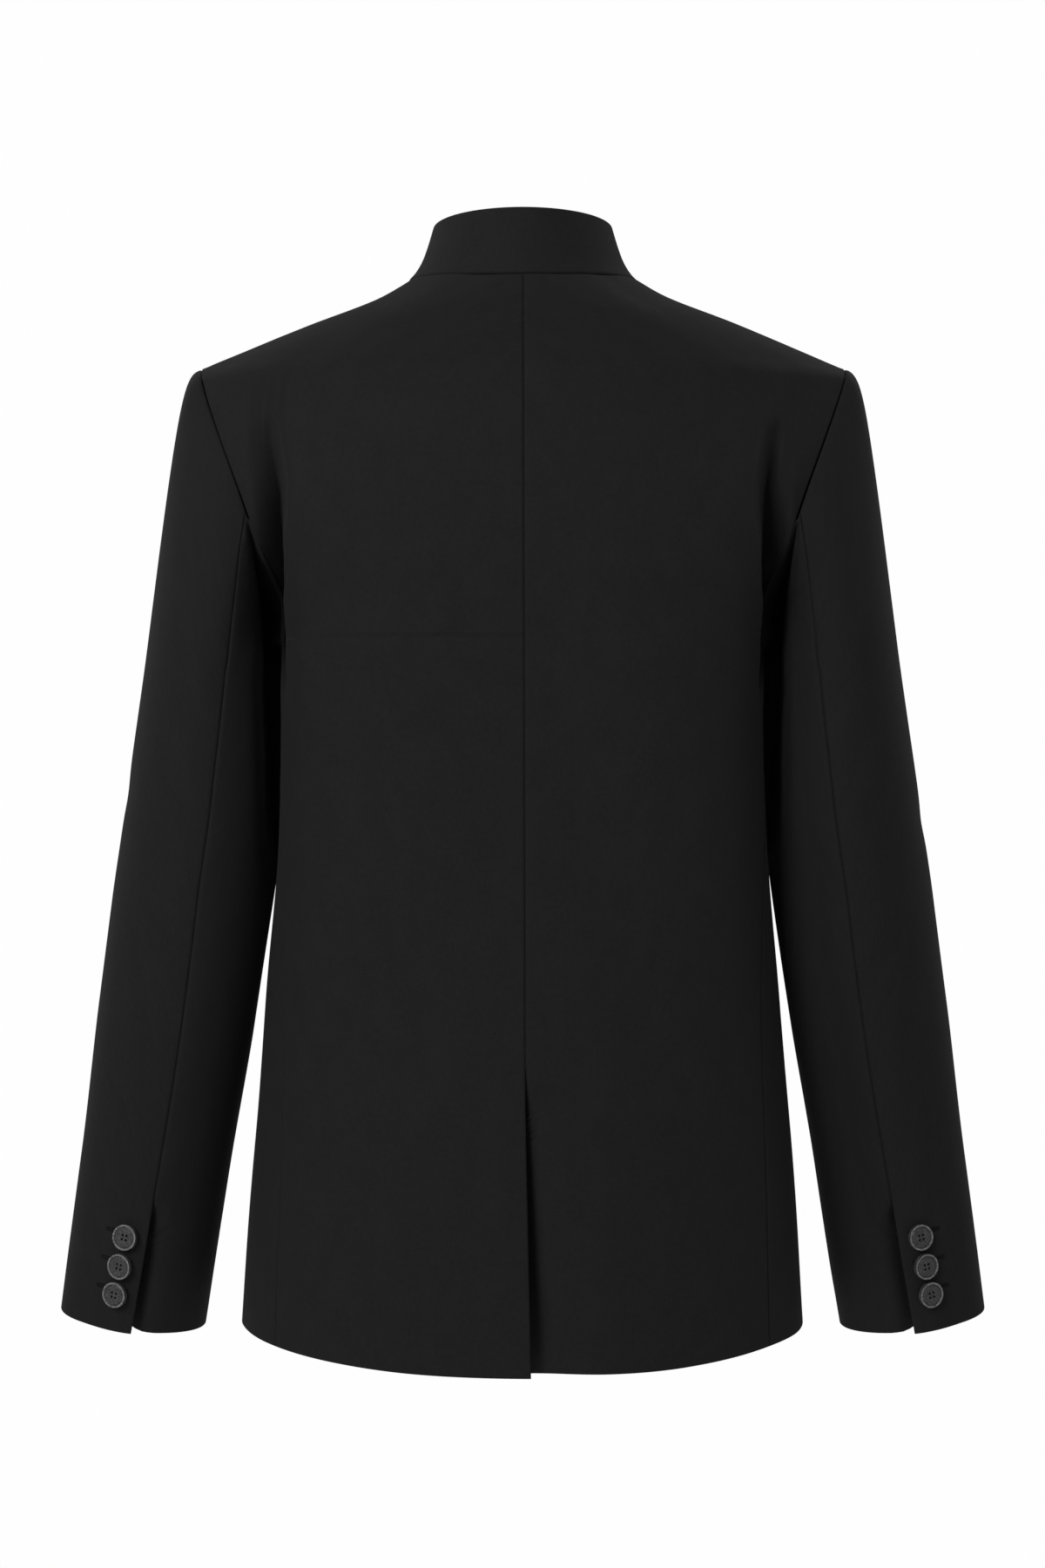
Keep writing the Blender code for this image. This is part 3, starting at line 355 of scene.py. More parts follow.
# Studio: places and sizes of the lights, and how strong each rim light is.
RIM_PLACE = (1.8, 0.9, 0.9)
RIM_SIZE = (1.6, 2.0)
RIM_SHARES = ((-1, 1.0), (1, 1.2))
MAIN_PLACE = (-1.15, -2.05, 0.7)
MAIN_SIZE = (1.1, 1.2)
CAMERA_X = -0.0002
FLOOR_SIZE = 3.6
FLOOR_COLOURS = ((0.80, 0.80, 0.79, 1.0), (0.86, 0.86, 0.85, 1.0))


def length_property(name, description, default):
    return bpy.props.FloatProperty(name=name, description=description, default=default, unit="LENGTH")


def power_property(name, description, default):
    return bpy.props.FloatProperty(name=name, description=description, default=default, unit="POWER")


def colour_property(name, description, default):
    return bpy.props.FloatVectorProperty(
        name=name, description=description, default=default, subtype="COLOR", size=4, min=0, max=1
    )


class JacketCloth(bpy.types.PropertyGroup):
    """Sizes and finish of the cloth."""

    wall: length_property("Wall", "Shell cloth with what is inside it", 0.0020)
    collar_wall: length_property("Collar wall", "The collar's two layers and interlining", 0.0026)
    seam_gap: length_property("Seam gap", "Between the two edges of a seam", 0.000003)
    seam_depth: length_property("Seam depth", "How far an edge rolls into its seam", 0.0017)
    seam_width: length_property("Seam width", "How wide that roll is", 0.0019)
    grid: length_property("Grid", "Spacing of the cloth's points", 0.0036)
    yarn: length_property("Twill pitch", "Spacing of the twill's ridges", 0.00055)
    colour: colour_property("Cloth", "Colour of the suiting", (0.0128, 0.0128, 0.0131, 1.0))
    fleck: colour_property("Fleck", "Colour of the lighter yarns", (0.0192, 0.0192, 0.0196, 1.0))
    thread: colour_property("Thread", "Colour of the sewing thread", (0.0048, 0.0048, 0.0050, 1.0))


class JacketButtons(bpy.types.PropertyGroup):
    """Sizes and finish of the cuff buttons and their buttonholes."""

    radius: length_property("Radius", "Half the button's width", 0.0082)
    height: length_property("Height", "From the cloth to the rim's top", 0.0030)
    rim: length_property("Rim", "Width of the rim with the painted highlight", 0.0011)
    groove: length_property("Groove", "Width and depth of the groove inside the rim", 0.0007)
    hole_radius: length_property("Hole radius", "Half the width of a sewing hole", 0.00085)
    hole_offset: length_property("Hole offset", "From the middle to a hole, each way", 0.0014)
    hole_length: length_property("Buttonhole", "Length of a buttonhole", 0.0200)
    hole_rise: length_property(
        "Buttonhole rise", "How far a buttonhole lies above its button's middle", 0.0030
    )
    hole_start: length_property(
        "Buttonhole start", "From the button's middle to the end near the vent", 0.0060
    )
    thread_radius: length_property("Thread", "Half the width of the buttonhole thread", 0.00020)
    lip: length_property("Stitch", "Length of one buttonhole stitch", 0.00135)
    pitch: length_property("Stitch spacing", "From one buttonhole stitch to the next", 0.00052)
    face: colour_property("Face", "Colour of the button's face", (0.034, 0.034, 0.035, 1.0))
    # The face's lighter flecks; the same colour is also the darker end of the rim's lighter colour, which is
    # a painted highlight.
    fleck_and_rim_highlight: colour_property("Vein", "Colour of its lighter flecks and the darker end of the rim's painted highlight", (0.095, 0.095, 0.096, 1.0))
    # The lightest colour of the rim: a painted highlight, not a colour the horn has.
    painted_rim_highlight: colour_property("Painted rim highlight", "Colour of the rim's painted highlight", (0.330, 0.330, 0.333, 1.0))
    tilt: bpy.props.FloatProperty(
        name="Tilt", description="How far a button leans away from the vent on its thread",
        default=math.radians(12), subtype="ANGLE",
    )


class JacketStudio(bpy.types.PropertyGroup):
    """The plain white studio."""

    distance: length_property("Distance", "From the camera to the middle of the jacket", 1.9)
    height: length_property("Height", "Level of the camera", -0.3214)
    frame_height: length_property("Frame", "Height of the picture at the jacket", 1.008)
    floor: length_property("Floor", "Level of the floor", -1.40)
    rim_light: power_property("Rim lights", "Power of the left light behind the jacket", 4.0)
    main_light: power_property("Main light", "Power of the light left of the camera", 25.5)
    surround: bpy.props.FloatProperty(
        name="Surround", description="Light from the white walls", default=0.27, min=0
    )


def smooth_through(knots, values, at):
    """Monotone cubic through (knot, value) pairs: smooth, with no overshoot between them."""
    knots, values = np.asarray(knots, float), np.asarray(values, float)
    gaps = np.diff(knots)
    slopes = np.diff(values) / gaps
    tangents = np.zeros(len(knots))
    same = slopes[:-1] * slopes[1:] > 0
    weight_a, weight_b = 2 * gaps[1:] + gaps[:-1], gaps[1:] + 2 * gaps[:-1]
    with np.errstate(divide="ignore", invalid="ignore"):
        harmonic = (weight_a + weight_b) / (weight_a / slopes[:-1] + weight_b / slopes[1:])
    tangents[1:-1] = np.where(same, harmonic, 0.0)
    tangents[0], tangents[-1] = slopes[0], slopes[-1]
    at = np.clip(np.asarray(at, float), knots[0], knots[-1])
    i = np.clip(np.searchsorted(knots, at, side="right") - 1, 0, len(gaps) - 1)
    t = (at - knots[i]) / gaps[i]
    start = (1 + 2 * t) * (1 - t) ** 2 * values[i] + t * (1 - t) ** 2 * gaps[i] * tangents[i]
    end = t * t * (3 - 2 * t) * values[i + 1] + t * t * (t - 1) * gaps[i] * tangents[i + 1]
    return start + end


def column(table, name):
    return [getattr(row, name) for row in table]


def read(table, name, at, key="level"):
    """A column of a table, at places on and between its rows."""
    return smooth_through(column(table, key), column(table, name), at)


def ease(t):
    """0 to 1 with level ends."""
    t = np.clip(t, 0.0, 1.0)
    return t * t * (3 - 2 * t)


def ease_over(value, low, high):
    """0 up to low, 1 from high on."""
    return ease((value - low) / (high - low))


def unit(vectors):
    return vectors / np.maximum(np.linalg.norm(vectors, axis=-1, keepdims=True), 1e-12)


def mirrored(vectors, side):
    return vectors * np.array([side, 1.0, 1.0])


def side_word(side):
    return "right" if side > 0 else "left"


def ring_value(name, level):
    return read(RINGS, name, level, "side_z")


def fold_value(name, level):
    return read(BACK_FOLD, name, level)


def fold_height(angle, level):
    """How far the drape fold stands out of the plain back, at an angle and a level."""
    crest, rise, depth, outer_run, hollow_run = (fold_value(name, level) for name in FoldStep._fields[1:])
    past = np.abs(angle) - crest
    inner = rise * (0.5 + 0.5 * np.cos(np.pi * np.clip(past / FOLD_INNER_RUN, -1, 0)))
    left = 1 - np.clip((past - outer_run) / hollow_run, 0, 1)
    drop = np.clip(past / outer_run, 0, 1) ** FOLD_DROP_CURVE
    outer = np.where(past < outer_run, rise - (rise + depth) * drop, -depth * left**FOLD_HOLLOW_CURVE)
    return np.where(past < 0, inner, outer)


def ring_reach(across, along, power, end_power):
    """The length of a ray to a ring whose points have across^power + along^end_power = 1."""
    reach = (across**power + along**power) ** (-1 / power)
    for _ in range(8):
        a, b = (reach * across) ** power, (reach * along) ** end_power
        reach = reach - (a + b - 1) * reach / (power * a + end_power * b)
    return reach


def armpit_lip(angle, level):
    """How far the back stands out beside the armpit, over the sleeve's seam."""
    turn = np.abs(angle)
    near = np.exp(-(((level - ARMPIT) / LIP_REACH) ** 2))
    return LIP * near * ease_over(turn, *LIP_INNER) * (1 - ease_over(turn, *LIP_OUTER))


def body_point(angle, level):
    """A point of the body's outer surface."""
    angle, level = np.broadcast_arrays(np.asarray(angle, float), np.asarray(level, float))
    turn = np.radians(angle)
    across, along = np.sin(turn), np.cos(turn)
    behind = along > 0
    power = np.where(behind, ring_value("back_power", level), ring_value("front_power", level))
    end_power = ring_value("end_power", level)
    depth = np.where(behind, ring_value("back_depth", level), ring_value("front_depth", level))
    drop = np.where(behind, ring_value("back_drop", level), ring_value("front_drop", level))
    reach = ring_reach(np.abs(across), np.abs(along), power, end_power)
    x = (ring_value("half_width", level) + armpit_lip(angle, level)) * across * reach
    y = -depth * along * reach - np.where(behind, fold_height(angle, level), 0.0)
    z = level + drop * (along * reach) ** 2
    return np.stack([x, y, z], axis=-1)


def body_normal(angle, level):
    around = body_point(angle + BODY_TURN, level) - body_point(angle - BODY_TURN, level)
    low, high = np.maximum(level - LEVEL_STEP, HEM), np.minimum(level + LEVEL_STEP, NECK)
    up = body_point(angle, high) - body_point(angle, low)
    return unit(np.cross(around, up))


def degrees_for(length, angle, level):
    """The turn round the body that covers a length of cloth at this place."""
    ends = body_point(angle + BODY_TURN, level) - body_point(angle - BODY_TURN, level)
    return length * 2 * BODY_TURN / np.linalg.norm(ends, axis=-1)


def armhole_angle(level, side):
    """The body angle of the armhole's edge at a level, counted from the back or from the front."""
    x = read(ARMHOLE, f"{side}_x", level)
    across = np.clip(x / ring_value("half_width", level), 0, 1)
    power, end_power = ring_value(f"{side}_power", level), ring_value("end_power", level)
    return np.degrees(np.arctan2(across, (1 - across**power) ** (1 / end_power)))


def side_seam(name, level):
    return read(SIDE_SEAMS, name, level)


def armhole_level(arm_angle):
    return ARMHOLE_LEVEL + ARMHOLE_HALF_HEIGHT * np.cos(np.radians(arm_angle))


def armhole_meets(seam_angle, side):
    """The angle round the arm, from the armpit up, where a side panel's seam runs into the armhole."""
    up = np.linspace(0.0, 80.0, 801)
    return float(np.interp(-seam_angle, -armhole_angle(armhole_level(180.0 - up), side), up))


BACK_JOIN_ANGLE = 180.0 - armhole_meets(SIDE_SEAMS[-1].back_angle, "back")
FRONT_JOIN_ANGLE = 180.0 + armhole_meets(180.0 - SIDE_SEAMS[-1].front_angle, "front")
BACK_JOIN, FRONT_JOIN = armhole_level(BACK_JOIN_ANGLE), armhole_level(FRONT_JOIN_ANGLE)


def back_edge(level):
    """Outer edge of a back panel: side seam, then armhole, then shoulder seam."""
    armhole = armhole_angle(level, "back")
    return np.where(level < BACK_JOIN, side_seam("back_angle", level), np.where(level < TIP, armhole, 90.0))


def front_edge(level):
    """Outer edge of a front panel, as back_edge."""
    armhole = 180.0 - armhole_angle(level, "front")
    return np.where(level < FRONT_JOIN, side_seam("front_angle", level), np.where(level < TIP, armhole, 90.0))


def spaced(length, step, first=True, last=True):
    """Shares of a length, close together at the ends where the cloth turns over."""
    close = np.array(EDGE_STEPS) / length
    low, high = (close[-1] if first else 0.0), (1 - close[-1] if last else 1.0)
    parts = [np.linspace(low, high, max(3, round(length / step)))]
    if first:
        parts.insert(0, close[:-1])
    if last:
        parts.append(1 - close[-2::-1])
    return np.concatenate(parts)


def back_columns(starts, edges, levels, step):
    """Angles of a back's columns at each level, close together over the drape fold."""
    crest = fold_value("crest_angle", levels)
    inner = np.minimum(crest - FOLD_MARGIN, edges - 2 * FOLD_MARGIN)
    outer = crest + fold_value("outer_run", levels) + fold_value("hollow_run", levels) + FOLD_MARGIN
    outer = np.minimum(outer, edges - 1.0)
    spans = (
        (starts, inner, spaced(BACK_SPAN, step, last=False)[:-1]),
        (inner, outer, np.linspace(0, 1, FOLD_COLUMNS)[:-1]),
        (outer, edges, spaced(BACK_EDGE_SPAN, step, first=False)),
    )
    return np.concatenate([a[:, None] + (b - a)[:, None] * shares for a, b, shares in spans], axis=1)


def panel_levels(join, join_angle, step):
    """Levels of a panel's rows: hem to armhole, armhole to shoulder tip, and tip to neck."""
    low = HEM + (join - HEM) * spaced(join - HEM, step)
    steps = round(math.pi * ARMHOLE_HALF_HEIGHT / step)
    arm = armhole_level(np.linspace(join_angle, 0.0 if join_angle < 180.0 else 360.0, steps))
    yoke = TIP + (NECK - TIP) * spaced(NECK - TIP, step * YOKE_GRID)
    return np.unique(np.round(np.concatenate([low, arm, yoke]), 7))


def run_lengths(points, axis):
    """Lengths along a grid's lines from their first points, and from their last."""
    steps = np.linalg.norm(np.diff(points, axis=axis), axis=-1)
    start = np.zeros_like(np.take(steps, [0], axis=axis))
    lengths = np.concatenate([start, np.cumsum(steps, axis=axis)], axis=axis)
    return lengths, np.take(lengths, [-1], axis=axis) - lengths


def roll(distance, width):
    """A quarter round over an edge: 1 at the edge, 0 from a width on."""
    t = np.clip(1 - distance / width, 0, 1)
    return 1 - np.sqrt(np.maximum(1 - t * t, 0.0))


def creased(creases, radius, scale, across, along):
    """Height of a set of creases at places given as lengths across and along the cloth. Their own ends
    are angles at a radius and shares of a scale."""
    height = np.zeros(np.broadcast(across, along).shape)
    for _, from_angle, from_along, to_angle, to_along, half_width, bow, rise in creases:
        start = (math.radians(from_angle) * radius, from_along * scale)
        end = (math.radians(to_angle) * radius, to_along * scale)
        way = np.subtract(end, start)
        length = math.hypot(*way)
        way = way / length
        share = ((across - start[0]) * way[0] + (along - start[1]) * way[1]) / length
        aside = (along - start[1]) * way[0] - (across - start[0]) * way[1]
        bump = np.sin(np.pi * np.clip(share, 0, 1))
        height += rise * bump**CREASE_TAPER * np.exp(-(((aside - bow * bump) / half_width) ** 2))
    return height


def body_creases(piece, angles, levels):
    """Creases of the backs, sides or fronts, and the cloth's slow unevenness."""
    found = [crease for crease in BODY_CREASES if crease.piece == piece]
    across = np.radians(angles) * BODY_RADIUS
    return creased(found, BODY_RADIUS, 1.0, across, levels) + unevenness(across, levels)


def sleeve_creases(side, angles, shares):
    found = [crease for crease in SLEEVE_CREASES if crease.side == side]
    across, along = np.radians(angles) * ARM_RADIUS, shares * SLEEVE_LENGTH
    slow = unevenness(across * side + SLEEVE_WAVE_START, along)
    return creased(found, ARM_RADIUS, SLEEVE_LENGTH, across, along) + SLEEVE_UNEVENNESS * slow


def unevenness(across, along):
    total = 0.0
    for wave in WAVES:
        turn = 2 * math.pi * (across / wave.across + along / wave.along) + wave.phase
        total = total + wave.height * np.sin(turn)
    return total


def pucker(along):
    return sum(height * np.sin(2 * math.pi * along / step + phase) for step, phase, height in PUCKERS)


def shell(name, points, normals, wall, seams, cloth):
    """A thin closed wall of cloth on a grid of outer points. seams gives, for the first and last
    column and the first and last row, how far that edge is sewn (1) or a free fold (0)."""
    gone_across, left_across = run_lengths(points, 1)
    gone_along, left_along = run_lengths(points, 0)
    sides = (gone_across, left_across, gone_along, left_along)
    runs = (gone_along, gone_along, gone_across, gone_across)
    outer_dip, inner_rise = np.zeros(points.shape[:2]), np.zeros(points.shape[:2])
    for distance, run, sewn in zip(sides, runs, seams):
        sewn = np.asarray(sewn, float)
        if sewn.ndim == 1:
            sewn = sewn[:, None]
        turn_in = roll(distance, cloth.seam_width)
        fold = (1 - sewn) * wall / 2 * roll(distance, wall / 2)
        outer_dip += sewn * cloth.seam_depth * turn_in + fold
        outer_dip += sewn * pucker(run) * np.exp(-distance / PUCKER_REACH) * ease(distance / cloth.seam_width)
        inner_rise += fold
    outer_dip = np.minimum(outer_dip, wall / 2)
    inner_rise = np.minimum(inner_rise, wall / 2 - 1e-5)
    outer = points - normals * outer_dip[..., None]
    inner = points - normals * (wall - inner_rise)[..., None]
    rows, columns = points.shape[:2]
    index = np.arange(rows * columns).reshape(rows, columns)
    quads = np.stack([index[:-1, :-1], index[:-1, 1:], index[1:, 1:], index[1:, :-1]], -1).reshape(-1, 4)
    ring = np.concatenate([index[0, :-1], index[:-1, -1], index[-1, :0:-1], index[:0:-1, 0]])
    after = np.roll(ring, -1)
    rim = np.stack([after, ring, ring + rows * columns, after + rows * columns], -1)
    faces = np.concatenate([quads, quads[:, ::-1] + rows * columns, rim])
    middle = gone_across[:, [columns // 2]]
    chart = np.stack([gone_across - middle, gone_along], -1).reshape(-1, 2)
    walls = np.concatenate([outer.reshape(-1, 3), inner.reshape(-1, 3)])
    return meshed(f"{name}_cloth", walls, faces, np.tile(chart, (2, 1)))


def meshed(name, points, faces, chart):
    """An object from points and faces, facing outwards, with its chart in metres as a UV map."""
    first, second, third = (points[faces[:, i]] for i in (0, 1, 2))
    if (np.cross(second - first, third - first) * first).sum() < 0:
        faces = faces[:, ::-1]
    data = bpy.data.meshes.new(name)
    data.from_pydata(points.tolist(), [], faces.tolist())
    layer = data.uv_layers.new(name="cloth")
    corners = np.empty(len(data.loops), int)
    data.loops.foreach_get("vertex_index", corners)
    layer.data.foreach_set("uv", chart[corners].ravel())
    data.validate()
    data.shade_smooth()
    piece = bpy.data.objects.new(name, data)
    bpy.context.scene.collection.objects.link(piece)
    return piece


def dressed(piece, cloth, finish=SHELL_FINISH):
    """Gives a cloth piece its finish and its place in the frame."""
    node = piece.name.removesuffix("_cloth")
    piece.data.materials.append(suiting(cloth, finish))
    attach(piece, "root")
    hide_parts(node)


def vent_edges(level, gap):
    """Where the two backs end at the centre, as lengths to the right of it."""
    open_top = VENT_TOP - VENT_RAMP
    over = (gap / 2 + VENT_OVERLAP) * np.clip((open_top - level) / (open_top - HEM), 0, 1)
    under = (gap / 2 + VENT_UNDERLAP) * ease((open_top - level) / VENT_RAMP)
    drift = CENTRE_AT_NECK + (CENTRE_AT_VENT - CENTRE_AT_NECK) * np.clip(level / VENT_TOP, 0, 1)
    return drift + over - gap / 2, drift + gap / 2 - under


def vent_depth(angle, level, wall):
    """How far the right back lies in behind the left one."""
    begun = ease((VENT_TOP - level) / VENT_RAMP)
    lap = wall + LAP_GAP
    deeper = lap + (VENT_HEM_DEPTH - lap) * (VENT_TOP - level) / (VENT_TOP - HEM)
    x = np.radians(angle) * ring_value("half_width", level)
    return begun * np.maximum(deeper, 0.0) * (1 - ease((x - VENT_OVERLAP) / VENT_FADE))


def vent_fall(angle, level):
    """How far the right back dives in beside the left one's free edge."""
    down = np.clip((VENT_TOP - level) / (VENT_TOP - HEM), 0, 1)
    past = np.radians(angle) * ring_value("half_width", level) - vent_edges(level, 0.0)[0]
    left = np.clip(1 - past / (VENT_FALL_LEAST_RUN + VENT_FALL_RUN * down), 0, 1)
    return VENT_FALL * down**VENT_FALL_GROWTH * left**VENT_FALL_CURVE


def back_panel(side, cloth):
    """One back: side is 1 for the right, -1 for the left."""
    levels = panel_levels(BACK_JOIN, BACK_JOIN_ANGLE, cloth.grid)
    left_end, right_end = vent_edges(levels, cloth.seam_gap)
    starts = np.degrees((right_end if side > 0 else -left_end) / ring_value("half_width", levels))
    edges = back_edge(levels)
    edges = edges - degrees_for(cloth.seam_gap / 2, edges, levels)
    step = cloth.grid * (RIGHT_BACK_GRID if side > 0 else 1.0)
    angles = back_columns(starts, edges, levels, step)
    rows = np.repeat(levels[:, None], angles.shape[1], axis=1)
    points, normals = body_point(side * angles, rows), body_normal(side * angles, rows)
    points = points + normals * body_creases("back", side * angles, rows)[..., None]
    if side > 0:
        fall = vent_fall(angles, rows)
        points = points - normals * (vent_depth(angles, rows, cloth.wall) + fall)[..., None]
        points[..., 2] -= VENT_HEM_DROP * fall
        lift = VENT_HEM_LIFT * (1 - ease(points[0, :, 0] / (2 * VENT_FADE)))
        points[..., 2] += lift * ease((HEM + VENT_LIFT_HEIGHT - rows) / VENT_LIFT_HEIGHT)
    centre = ease((levels - VENT_TOP) / VENT_RAMP + 1)
    seams = (centre, 1.0, 0.0, 1.0)
    return shell(f"back_{side_word(side)}", points, normals, cloth.wall, seams, cloth)


def lap_value(name, level):
    return read(FRONT_LAP, name, level)


def lap_shift(angle, level, wall):
    """How the over front moves off the body, level with it: nothing before the under front's edge."""
    past_centre = np.radians(angle - 180.0) * ring_value("half_width", level)
    under = lap_value("under_edge", level)
    lift = (wall + FRONT_LAP_GAP) * ease((past_centre + under + LAP_RAMP + LAP_MARGIN) / LAP_RAMP)
    level_way = body_normal(angle, level) * np.array([1.0, 1.0, 0.0])
    steep = (level_way**2).sum(-1, keepdims=True)
    return level_way / steep * lift[..., None]


def front_ends(side, levels):
    """Angles where a front ends past the centre."""
    reach = lap_value("over_edge" if side > 0 else "under_edge", levels)
    return 180.0 + np.degrees(reach / ring_value("half_width", levels))


def front_panel(side, cloth):
    """One front: the right one (1) laps over the left one (-1) past the centre front."""
    levels = panel_levels(FRONT_JOIN, FRONT_JOIN_ANGLE, cloth.grid)
    edges = front_edge(levels)
    edges = edges + degrees_for(cloth.seam_gap / 2, edges, levels)
    shares = spaced(FRONT_SPAN, cloth.grid)
    angles = edges[:, None] + (front_ends(side, levels) - edges)[:, None] * shares
    rows = np.repeat(levels[:, None], angles.shape[1], axis=1)
    points, normals = body_point(side * angles, rows), body_normal(side * angles, rows)
    height = body_creases("front", side * angles, rows)
    if side > 0:
        points = points + lap_shift(angles, rows, cloth.wall)
    else:
        height = height * ease((180.0 - angles) / LAP_CALM)
    points = points + normals * height[..., None]
    return shell(f"front_{side_word(side)}", points, normals, cloth.wall, (1.0, 0.0, 0.0, 1.0), cloth)


def side_panel(side, cloth):
    """The panel under the arm, from the hem up to the bottom of the armhole."""
    first, last = SIDE_SEAMS[-1].back_angle, SIDE_SEAMS[-1].front_angle
    arm_angles = np.linspace(BACK_JOIN_ANGLE, FRONT_JOIN_ANGLE, 181)
    place_angles, place_levels = armhole_place(arm_angles)
    shares = spaced(SIDE_SPAN, cloth.grid)
    tops = np.interp(first + (last - first) * shares, place_angles, place_levels)
    heights = spaced(BACK_JOIN - HEM, cloth.grid)
    levels = HEM + (tops - cloth.seam_gap - HEM) * heights[:, None]
    start, end = side_seam("back_angle", levels), side_seam("front_angle", levels)
    start = start + degrees_for(cloth.seam_gap / 2, start, levels)
    end = end - degrees_for(cloth.seam_gap / 2, end, levels)
    angles = start + (end - start) * shares
    points, normals = body_point(side * angles, levels), body_normal(side * angles, levels)
    height = body_creases("side", side * angles, levels) * ease((ARMPIT - levels) / ARMPIT_CALM)
    points = points + normals * height[..., None]
    return shell(f"side_{side_word(side)}", points, normals, cloth.wall, (1.0, 1.0, 0.0, 1.0), cloth)


def collar_point(angle, share, cloth):
    """A point of the collar's outer surface at an angle round the neck and a share of its height."""
    values = {name: read(COLLAR, name, share, "share") for name in CollarRing._fields[1:]}
    turn = np.radians(angle)
    across, along = np.sin(turn), np.cos(turn)
    behind = along > 0
    depth = np.where(behind, values["back_depth"], values["front_depth"])
    drop = np.where(behind, values["back_drop"], values["front_drop"])
    z = values["side_z"] + drop * along**2 + cloth.seam_gap
    plain = np.stack([values["half_width"] * across, -depth * along, z], axis=-1)
    lap = lap_shift(angle, np.full_like(angle, NECK), cloth.wall) * COLLAR_LAP_SCALE
    lapped = np.linalg.norm(lap, axis=-1) / (cloth.collar_wall + FRONT_LAP_GAP)
    plain[..., 2] += COLLAR_LAP_RISE * np.clip(lapped, 0, 1)
    return plain + lap


def collar_strip(cloth):
    """The stand collar: one strip from under the lap, round the back, to the lap's own edge."""
    neck = np.array([NECK])
    turns = np.concatenate([-front_ends(-1, neck), front_ends(1, neck)])
    angles = turns[0] + (turns[1] - turns[0]) * spaced(COLLAR_SPAN, cloth.grid * COLLAR_GRID_ROUND)
    shares = spaced(COLLAR_HEIGHT, cloth.grid * COLLAR_GRID_UP)
    angles, shares = np.meshgrid(angles, shares)
    around = collar_point(angles + BODY_TURN, shares, cloth)
    around = around - collar_point(angles - BODY_TURN, shares, cloth)
    up = collar_point(angles, np.minimum(shares + COLLAR_STEP, 1), cloth)
    up = up - collar_point(angles, np.maximum(shares - COLLAR_STEP, 0), cloth)
    normals = unit(np.cross(around, up))
    points = collar_point(angles, shares, cloth)
    return shell("collar", points, normals, cloth.collar_wall, (0.0, 0.0, 1.0, 0.0), cloth)


def armhole_place(arm_angle):
    """Body angle and level of the armhole at an angle round the arm."""
    level = armhole_level(arm_angle)
    behind = np.sin(np.radians(arm_angle)) > 0
    return np.where(behind, armhole_angle(level, "back"), 180.0 - armhole_angle(level, "front")), level


def armhole_frame(arm_angle):
    """The armhole's point and the direction in the cloth that leaves the body there."""
    before, here, after = (armhole_place(arm_angle + turn) for turn in (-ARM_TURN, 0.0, ARM_TURN))
    along = body_point(*after) - body_point(*before)
    return body_point(*here), unit(np.cross(body_normal(*here), unit(along)))


def sleeve_ring_point(arm_angle, place):
    """A point of the sleeve below the cap. place runs over the rows of SLEEVE."""
    knots = np.arange(len(SLEEVE))
    value = {name: smooth_through(knots, column(SLEEVE, name), place) for name in SleeveRing._fields[1:]}
    turn, oval = np.radians(arm_angle), np.radians(value["turn"])
    p, q = value["half_across"] * np.cos(turn - oval), -value["half_depth"] * np.sin(turn - oval)
    across = p * np.cos(oval) + q * np.sin(oval)
    deep = -p * np.sin(oval) + q * np.cos(oval)
    slant = np.radians(value["slant"])
    cuff = np.clip(place - (len(SLEEVE) - 2), 0, 1)
    dip = -CUFF_BACK_DROP * cuff * np.clip(np.sin(turn), 0, 1)
    x = value["x"] + across * np.cos(slant)
    return np.stack([x, value["y"] + deep, value["z"] + across * np.sin(slant) + dip], axis=-1)


def by_side(values, arm_angle):
    """A value given outside, at the sides and at the armpit, at any angle round the arm."""
    outside, sides, armpit = values
    lift = np.cos(np.radians(arm_angle))
    return sides + np.where(lift > 0, (outside - sides) * lift, (sides - armpit) * lift)


def sleeve_point(arm_angle, share, gap=0.0):
    """A point of the right sleeve's outer surface, from the armhole (0) to the cuff (1)."""
    arm_angle, share = np.broadcast_arrays(np.asarray(arm_angle, float), np.asarray(share, float))
    start, leaving = armhole_frame(arm_angle)
    start = start + leaving * gap
    biceps = sleeve_ring_point(arm_angle, np.zeros_like(share))
    sideways = -np.sin(np.radians(arm_angle))
    go = np.stack(
        [by_side(CAP_OUT, arm_angle), CAP_SPREAD * sideways, -by_side(CAP_DOWN, arm_angle)], axis=-1
    )
    later = sleeve_ring_point(arm_angle, np.full_like(share, 0.05)) - biceps
    span = np.linalg.norm(biceps - start, axis=-1, keepdims=True)
    arrive = unit(later) * span * CAP_END_SHARE
    t = np.clip(share / CAP_SHARE, 0, 1)[..., None]
    cap = (1 + 2 * t) * (1 - t) ** 2 * start + t * (1 - t) ** 2 * go
    cap = cap + t * t * (3 - 2 * t) * biceps + t * t * (t - 1) * arrive
    swell = share / HEAD_PEAK * np.exp(1 - share / HEAD_PEAK)
    cap[..., 0] += HEAD_RISE * swell * np.clip(np.cos(np.radians(arm_angle)), 0, 1) ** 2 * (1 - t[..., 0])
    place = np.clip((share - CAP_SHARE) / (1 - CAP_SHARE), 0, 1) * (len(SLEEVE) - 1)
    points = np.where(share[..., None] < CAP_SHARE, cap, sleeve_ring_point(arm_angle, place))
    edge = HOLLOW_EDGE + (HOLLOW_FRONT_EDGE - HOLLOW_EDGE) * ease_over(arm_angle, *HOLLOW_EDGE_TURN)
    return points + under_arm(points, arm_angle) * ease(share / edge)[..., None]


